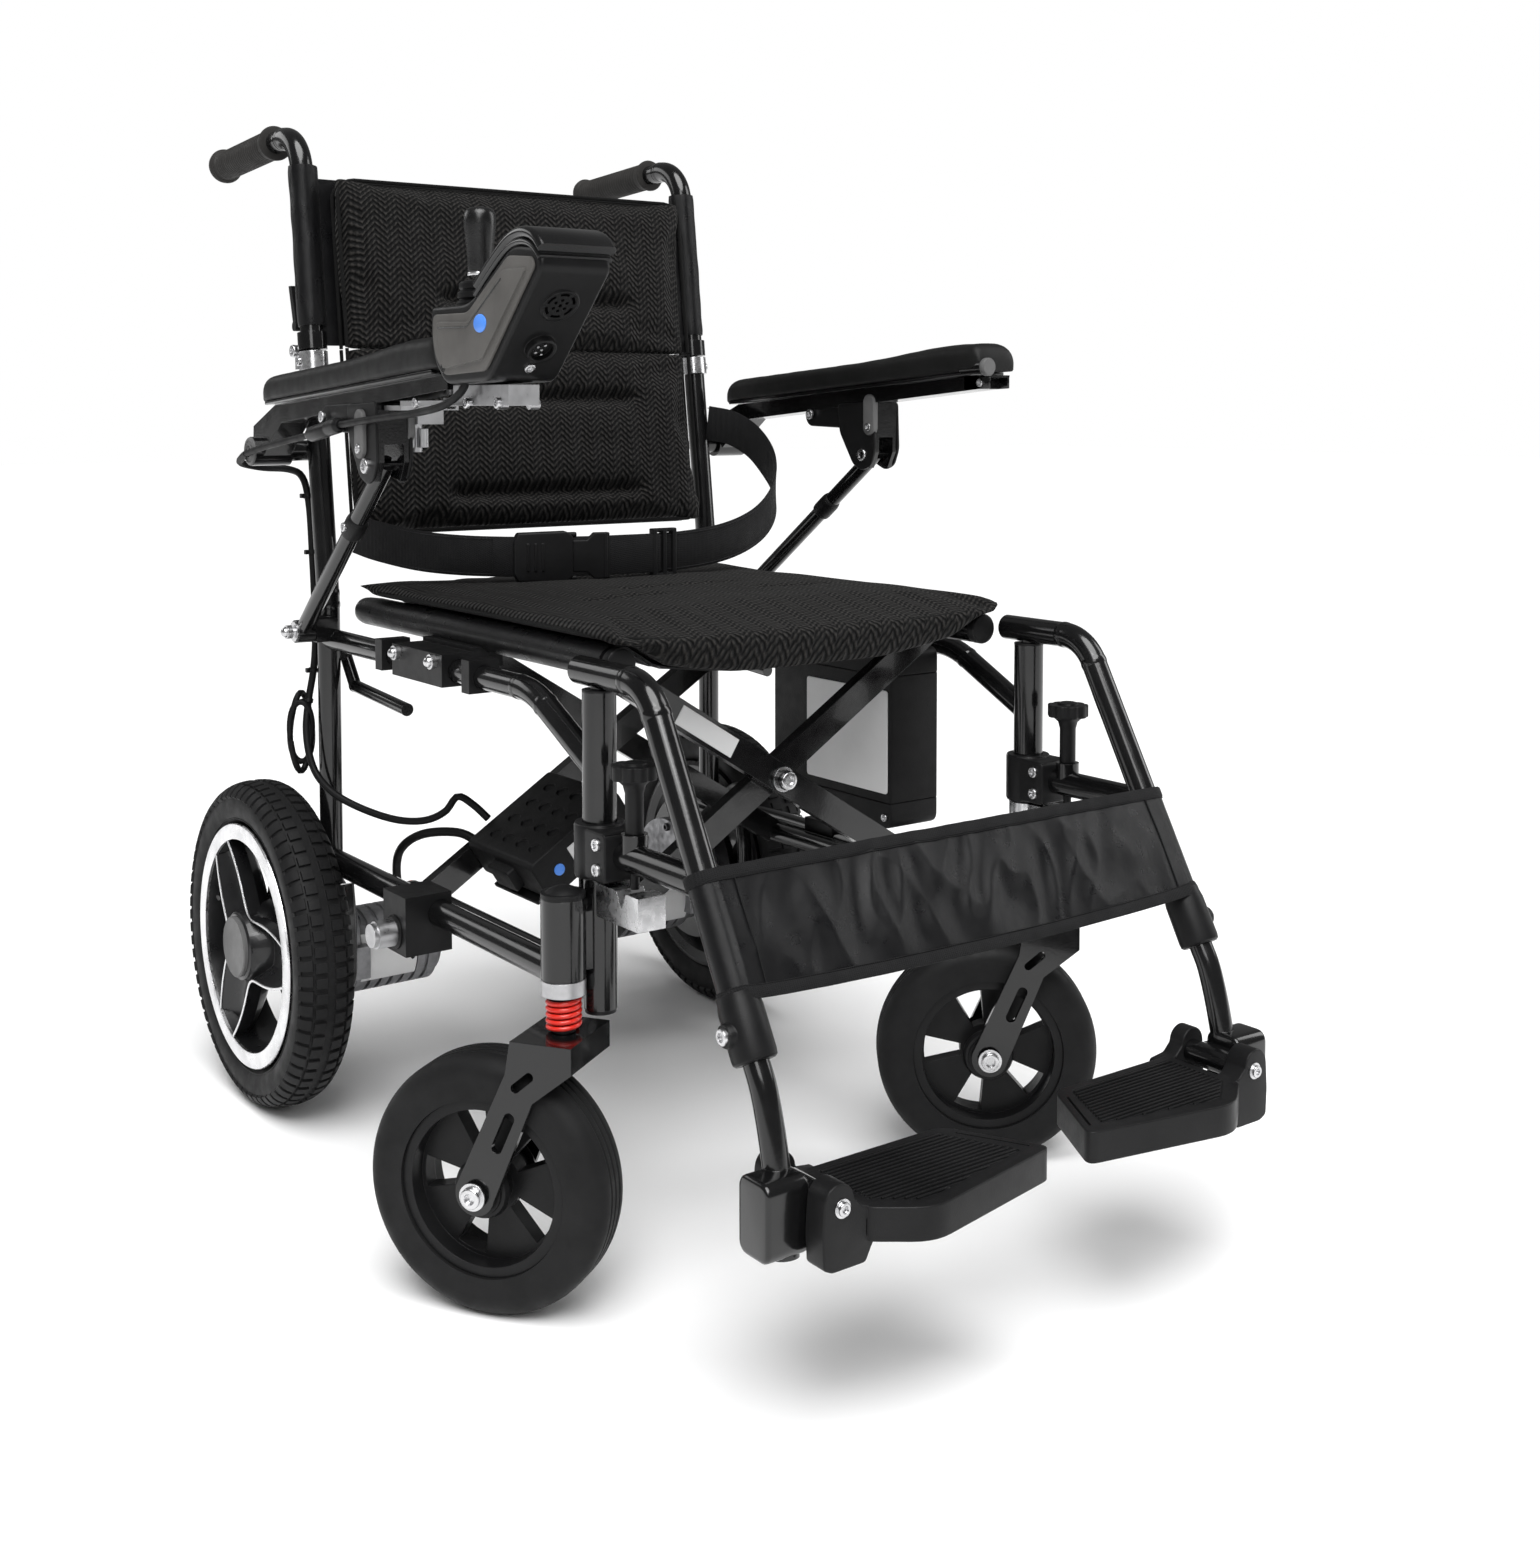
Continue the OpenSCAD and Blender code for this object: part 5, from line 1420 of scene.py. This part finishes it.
def make_footplate(side):
    plan = [(-186, -522), (-150, -549), (-18, -523), (-58, -449), (-186, -449)]
    plate = extruded(rounded(plan, [6, 16, 10, 12, 6]), 141.5, 165, 4.5, 4, axis="Z")
    panel = [(-178, -513), (-147, -536), (-40, -515), (-68, -457), (-178, -457)]
    end = Vector((-40, 74)).normalized()
    groove_from, groove_to = Vector((-30.5, -513)), Vector((-57, -464))
    across = Vector((end.y, -end.x))
    groove = [groove_from + across * 1.1, groove_to + across * 1.1, groove_to - across * 1.1,
              groove_from - across * 1.1]
    hollow = joined([extruded(rounded(panel, 4), 164.1, 168, axis="Z"),
                     extruded([tuple(p) for p in groove], 163.2, 168, axis="Z")])
    plate = cut(plate, hollow)
    ribs = []
    for y in np.linspace(-531, -460.5, 16):
        left = -176.5 if y > -512 else -176.5 + (-512 - y) * 1.32
        right = np.interp(y, [-535.5, -514.5, -458], [-147, -42, -69.3])
        if y < -514.5:
            right = -147 + (y + 536) / 21.5 * 104
        if right - left > 12:
            ribs.append(extruded(oblong(left, y - 0.9, right, y + 0.9), 163.5, 166, 0.4, 2, axis="Z"))
    # ear blocks that hold the hinge rod, with a fillet into the plate
    block = arc((-208, 173), 12.5, 0, 180, 14)
    block += [(-222, 152), (-221, 131), (-214, 127.5), (-186, 127.5), (-180, 139), (-170, 146),
              (-172, 164), (-188, 166)]
    ears = [extruded(rounded(block, 2, 2), a, b, 2.2, 3, axis="Y")
            for a, b in ((-520.5, -501), (-457, -442.5))]
    bridge = round_box((-188, -520.5, 142.5), (-166, -442.5, 160), 4, "Y", 2)
    side.add("footplate_dressed", joined([plate] + ribs + ears + [bridge]), "footplate_plastic",
             "footplate", replaces="footplate", limit=35)
    rod = [lathe(disc(6.4, 0, 1), (-0.206, -0.5203, 0.169), FRONT, 32),
           bolt_head((-0.206, -0.521, 0.169), FRONT, 4.7, 3),
           lathe(disc(4, -519.5, -443.6), FOOT_HINGE_AT, (0, 1, 0), 20)]
    side.add("footplate_rod", joined(rod), "bright_hardware", "footplate")


def make_leg(side):
    """The bent lower tube, with the heel block that carries the footplate."""
    run = [slope_at(z) for z in (0.344, 0.32, 0.296, 0.272, 0.250, 0.234)]
    run += [Vector((-POST_X, y, z)) for y, z in ((-0.4655, 0.213), (-0.4715, 0.190), (-0.4765, 0.166),
                                                 (-0.4805, 0.143), (-0.483, 0.1275))]
    tube = sweep(smooth_path(run, 0.005), ring(9.5, 32))
    block = round_box((-249.5, -498, 132), (-214.5, -464.5, 185.5), 8.5, "X", 3.5)
    barrel = lathe([(4.2, -500.4), (9.6, -500.4), (9.8, -499.6), (9.8, -458.4), (9.6, -457.6),
                    (4.2, -457.6)], FOOT_HINGE_AT, (0, 1, 0), 40)
    neck = round_box((-217, -496, 159), (-211.5, -462, 175), 3, "X", 1)
    side.add("leg_tube_dressed", joined([tube, block, barrel, neck]), "black_tube", "leg",
             replaces="leg_tube", limit=40)


def make_hanger_trim(side):
    lower = lathe([(9.8, 0), (14, 0), (15.7, 1.5), (16.2, 5), (16, 36), (15, 42), (14.9, 46),
                   (14, 47)], slope_at(0.2487), -ALONG_LEG, 48)
    boss = lathe([(0, 0), (8.5, 0), (8.5, 18), (7.8, 19.2), (0, 19.2)], slope_at(0.267), OUT, 32)
    clamp = round_box((-242, -286.2, 336.2), (-206, -253, 373.8), 4.5, "X", 2.2)
    clamp = cut(clamp, lathe(disc(13.15, 330, 380), FRONT_POST_AT, UP, 48))
    post_ring = lathe([(13.15, 334.5), (18.6, 334.5), (19.5, 336.5), (19.5, 373.5), (18.6, 375.5),
                       (13.15, 375.5)], FRONT_POST_AT, UP, 56)
    side.add("hanger_clamp", joined([lower, boss, clamp, post_ring]), "satin_black_plastic", "hanger",
             limit=35)
    bolts = [bolt_head(slope_at(0.267) + Vector((-0.0188, 0, 0)), OUT, 5.8, 3.5)]
    for z in (0.3455, 0.3645):
        bolts.append(bolt_head((-0.2415, -0.2755, z), OUT, 4.8, 3))
        bolts.append(bolt_head((-0.2065, -0.2755, z), (1, 0, 0), 4.8, 3))
    side.add("hanger_bolts", joined(bolts), "bright_hardware", "hanger")


def make_latch(side):
    star = []
    for i in range(96):
        a = math.tau * i / 96
        r = 17.7 - 1.9 * (0.5 + 0.5 * math.cos(9 * a)) ** 3
        star.append((-224 + r * math.cos(a), -299 + r * math.sin(a)))
    knob = extruded(star, 415.5, 426.2, 2.2, 4, axis="Z")
    stem = lathe([(0, 334), (3.5, 334), (3.5, 375.2), (7, 375.2), (7, 405), (8.6, 411), (12.5, 414.5),
                  (12.5, 416.5), (0, 416.5)], LATCH_AT, UP, 40)
    cap = lathe([(0, 425.6), (9.5, 425.6), (9, 427.6), (6, 428.4), (0, 428.6)], LATCH_AT, UP, 40)
    side.add("latch_knob_dressed", joined([knob, stem, cap]), "satin_black_plastic", "latch",
             replaces="latch_knob", limit=35)


# ---------- back ----------

def make_grip(side):
    top = Vector((-POST_X, BACK_FOOT.y + 0.456 * math.tan(BACK_LEAN), 0.956))
    end = Vector((-POST_X, 0.512, 0.944))
    along = (end - top).normalized()
    start = top + along * (0.372 - top.y) / along.y
    profile = [(0, 0), (14.5, 0), (17, 0.8), (17.6, 2.2), (17.4, 4.2), (15.4, 6)]
    for i in range(25):
        h = 11 + 5.0 * i
        profile += [(15.2, h), (15.2, h + 2.6), (14.5, h + 3.2), (14.5, h + 4.3)]
    profile += [(15.2, 137), (15.2, 139), (17.4, 141), (18.2, 143.5), (17.6, 146.4), (14.5, 148),
                (0, 148.6)]
    side.add("grip_dressed", lathe(profile, start, along, 56), "grip_rubber", "back", replaces="grip",
             limit=45)


def make_back_trim(side):
    bolts = [bolt_head((-0.2378, 0.2845, 0.7305), OUT, 4.2, 3),
             bolt_head((-0.2362, 0.301, 0.741), OUT, 6.2, 3.5)]
    side.add("back_hinge_screws", joined(bolts), "bright_hardware", "frame")


# ---------- drive and electrics ----------

def make_drive_trim(side):
    centre = (0.308, 0.159)
    run = [(0.205, 0.232), (0.2, 0.2), (0.2, 0.165)] + \
        [(centre[0] - r * math.cos(math.radians(a)), centre[1] - r * math.sin(math.radians(a)))
         for a, r in zip(np.linspace(8, 62, 12), np.linspace(0.108, 0.082, 12))]
    path = smooth_path([(-0.2325, y, z) for y, z in run], 0.006)
    rim = sweep(path, band(17.5, 8.5, 8), up=Vector((0, 1, 0.2)))
    side.add("motor_plate_rim", rim, "black_tube", "frame", limit=50)
    label = extruded(arc((296, 139), 42.1, 146, 214, 14) + arc((296, 139), 42.7, 214, 146, 14), -193.5,
                     -135.5)
    side.add("motor_label", label, "label", "frame", slot="grey_casting")
    heads = [bolt_head((-0.1985, 0.308 + 0.0505 * math.cos(a), 0.159 + 0.0505 * math.sin(a)), (1, 0, 0),
                       4.5, 4) for a in (0.6, 1.7, 2.75, 3.75, 4.9, 6.0)]
    heads += [bolt_head((-0.1055, 0.296 + 0.028 * math.cos(a), 0.139 + 0.028 * math.sin(a)), (1, 0, 0),
                        3.2, 2.5) for a in (0.8, 2.37, 3.94, 5.5)]
    heads.append(bolt_head((-0.203, 0.1135, 0.240), (0, 1, 0), 6.2, 3.5))
    side.add("motor_screws", joined(heads), "dark_bolt", "frame", slot="bright_hardware")
    stop = lathe([(0, 0), (7.5, 0), (8, 0.8), (8, 7), (7.4, 8), (0, 8)], (-0.203, 0.117, 0.240),
                 (0, 1, 0), 32)
    side.add("hinge_stop", stop, "orange_part", "frame", slot="satin_black_plastic")
    lead = smooth_path(mm([(-140, 258, 132), (-142, 248, 150), (-160, 232, 190), (-176, 212, 232),
                           (-186, 180, 264), (-180, 145, 284), (-162, 108, 290), (-149, 88.5, 282)]), 0.005)
    side.add("motor_lead", sweep(lead, ring(4.2, 12)), "cable_sheath", "frame", limit=60)
    # stepped sleeve behind the freewheel knob
    low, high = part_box(f"freewheel_knob_{side}")
    y, z = (low.y + high.y) / 2, (low.z + high.z) / 2
    sleeve_part = lathe([(6.2, 0), (15, 0), (15, 1.5), (13.5, 2.2), (13.5, 2.6), (6.2, 2.6)],
                        (-0.2568, y, z), OUT, 40)
    side.add("freewheel_seat", sleeve_part, "satin_black_plastic", "frame")


def make_battery():
    case = round_box((147.5, -150, 297), (205, 30, 463), 9, "X", 2.8)
    seam = joined([extruded(oblong(147.1, -151.5, 205.5, 31.5), z, z + 1.2, axis="Z")
                   for z in (438.5, 320.5)])
    inner = extruded(oblong(148.5, -148.9, 204, 28.9), 300, 460, axis="Z")
    case = cut(case, cut(seam, inner))
    feet = [round_box((204, y, 300), (211, y + 24, 330), 3, "X", 1.2) for y in (-120, -20)]
    add("battery_case_dressed", joined([case] + feet), "battery_case", "frame_l",
        replaces="battery_pack", limit=35)
    plate = round_box((146.8, -145.5, 329.5), (147.6, -24.5, 425.5), 3, "X", 0.2)
    add("battery_label", plate, "label", "frame_l", slot="battery_case")
    heads = [bolt_head((0.1477, y, z), OUT, 3.6, 2.2) for y in (-0.1415, -0.06, 0.0215)
             for z in (0.3075, 0.4525)]
    add("battery_screws", joined(heads), "bright_hardware", "frame_l")


def make_controller():
    pose = Matrix.Translation(ARM_HINGE * Vector((-1, 1, 1))) @ Matrix.Rotation(-ARM_TILT, 4, "Y")
    case = round_box((56, -36, -20), (162, 84, 20), 6, "Y", 3)
    dimples = []
    for i in range(4):
        for j in range(4):
            dimple = lathe([(0, 0), (6.2, 0), (6.8, 1.6), (7.2, 6), (0, 6)], (0, 0, 0), UP, 28)
            dimple.transform(Matrix.Translation((0.076 + i * 0.022, -0.016 + j * 0.024, 0.0186))
                             @ Matrix.Diagonal((0.8, 1.25, 1, 1)))
            dimples.append(dimple)
    case = cut(case, joined(dimples))
    tray = round_box((50, -20, -23), (168, 60, -19.5), 1, "Z", 0.6)
    plate = extruded(oblong(94, -12, 136, 10), -36.6, -35.8, 0.2, 1, axis="Y")
    dot = lathe([(0, 0), (5.2, 0), (5.2, 0.9), (0, 1.1)], (0.078, -0.0359, -0.001), FRONT, 32)
    plug = round_box((47.5, 2, -12), (58, 40, 10), 3, "X", 1.5)
    body = "arm_a"
    for part in (case, tray, plate, dot, plug):
        part.transform(pose)
    add("controller_dressed", joined([case, tray, plug]), "controller_case", body,
        replaces="controller_box", limit=35)
    add("controller_label", plate, "label", body, slot="controller_case")
    add("controller_dot", dot, "blue_dot", body, slot="controller_case")


def make_arm_trim():
    """Blank label on the arm that rises to the near rail, and the caps of both seat rails."""
    tilt = Matrix.Translation(ARM_HINGE) @ Matrix.Rotation(ARM_TILT, 4, "Y")
    label = extruded(oblong(-366, -8.5, -300, 8.5), -182.2, -181.3, 0.2, 1, axis="Y")
    label.transform(tilt)
    add("cross_arm_label", label, "label", "arm_b", slot="black_tube")
    for k, body in ((1, "arm_a"), (-1, "arm_b")):
        plug = lathe([(0, 0), (13.4, 0), (13.4, 6.5), (12.2, 8.4), (9, 9.2), (0, 9.4)],
                     (k * 0.190, -0.2195, 0.488), FRONT, 40)
        add(f"seat_rail_cap_{body}", plug, "satin_black_plastic", body)
    washer = lathe(disc(10.8, 0, 1.4), (0, -0.1818, 0.3681), FRONT, 32)
    head = bolt_head((0, -0.1876, 0.3681), FRONT, 7.8, 4.2)
    add("cross_pivot_head", joined([washer, head]), "bright_hardware", "arm_a")


def make_hard_parts():
    for side in SIDES:
        for make in (make_arm_pad, make_arm_hardware, make_strut_trim, make_footplate,
                     make_leg, make_hanger_trim, make_latch, make_grip, make_back_trim, make_drive_trim):
            make(side)
    make_joystick()
    make_leads()
    make_battery()
    make_controller()
    make_arm_trim()


# ---------- assembly ----------

def make_floor():
    bpy.ops.mesh.primitive_plane_add(size=40, location=(0, 0, cad_box[0].z - 0.0005))
    floor = bpy.context.object
    floor.name = "studio_floor"
    floor.data.materials.append(floor_finish())


make_camera()
make_studio()
make_floor()
dress_cad()
make_wheels()
make_soft_goods()
make_hard_parts()
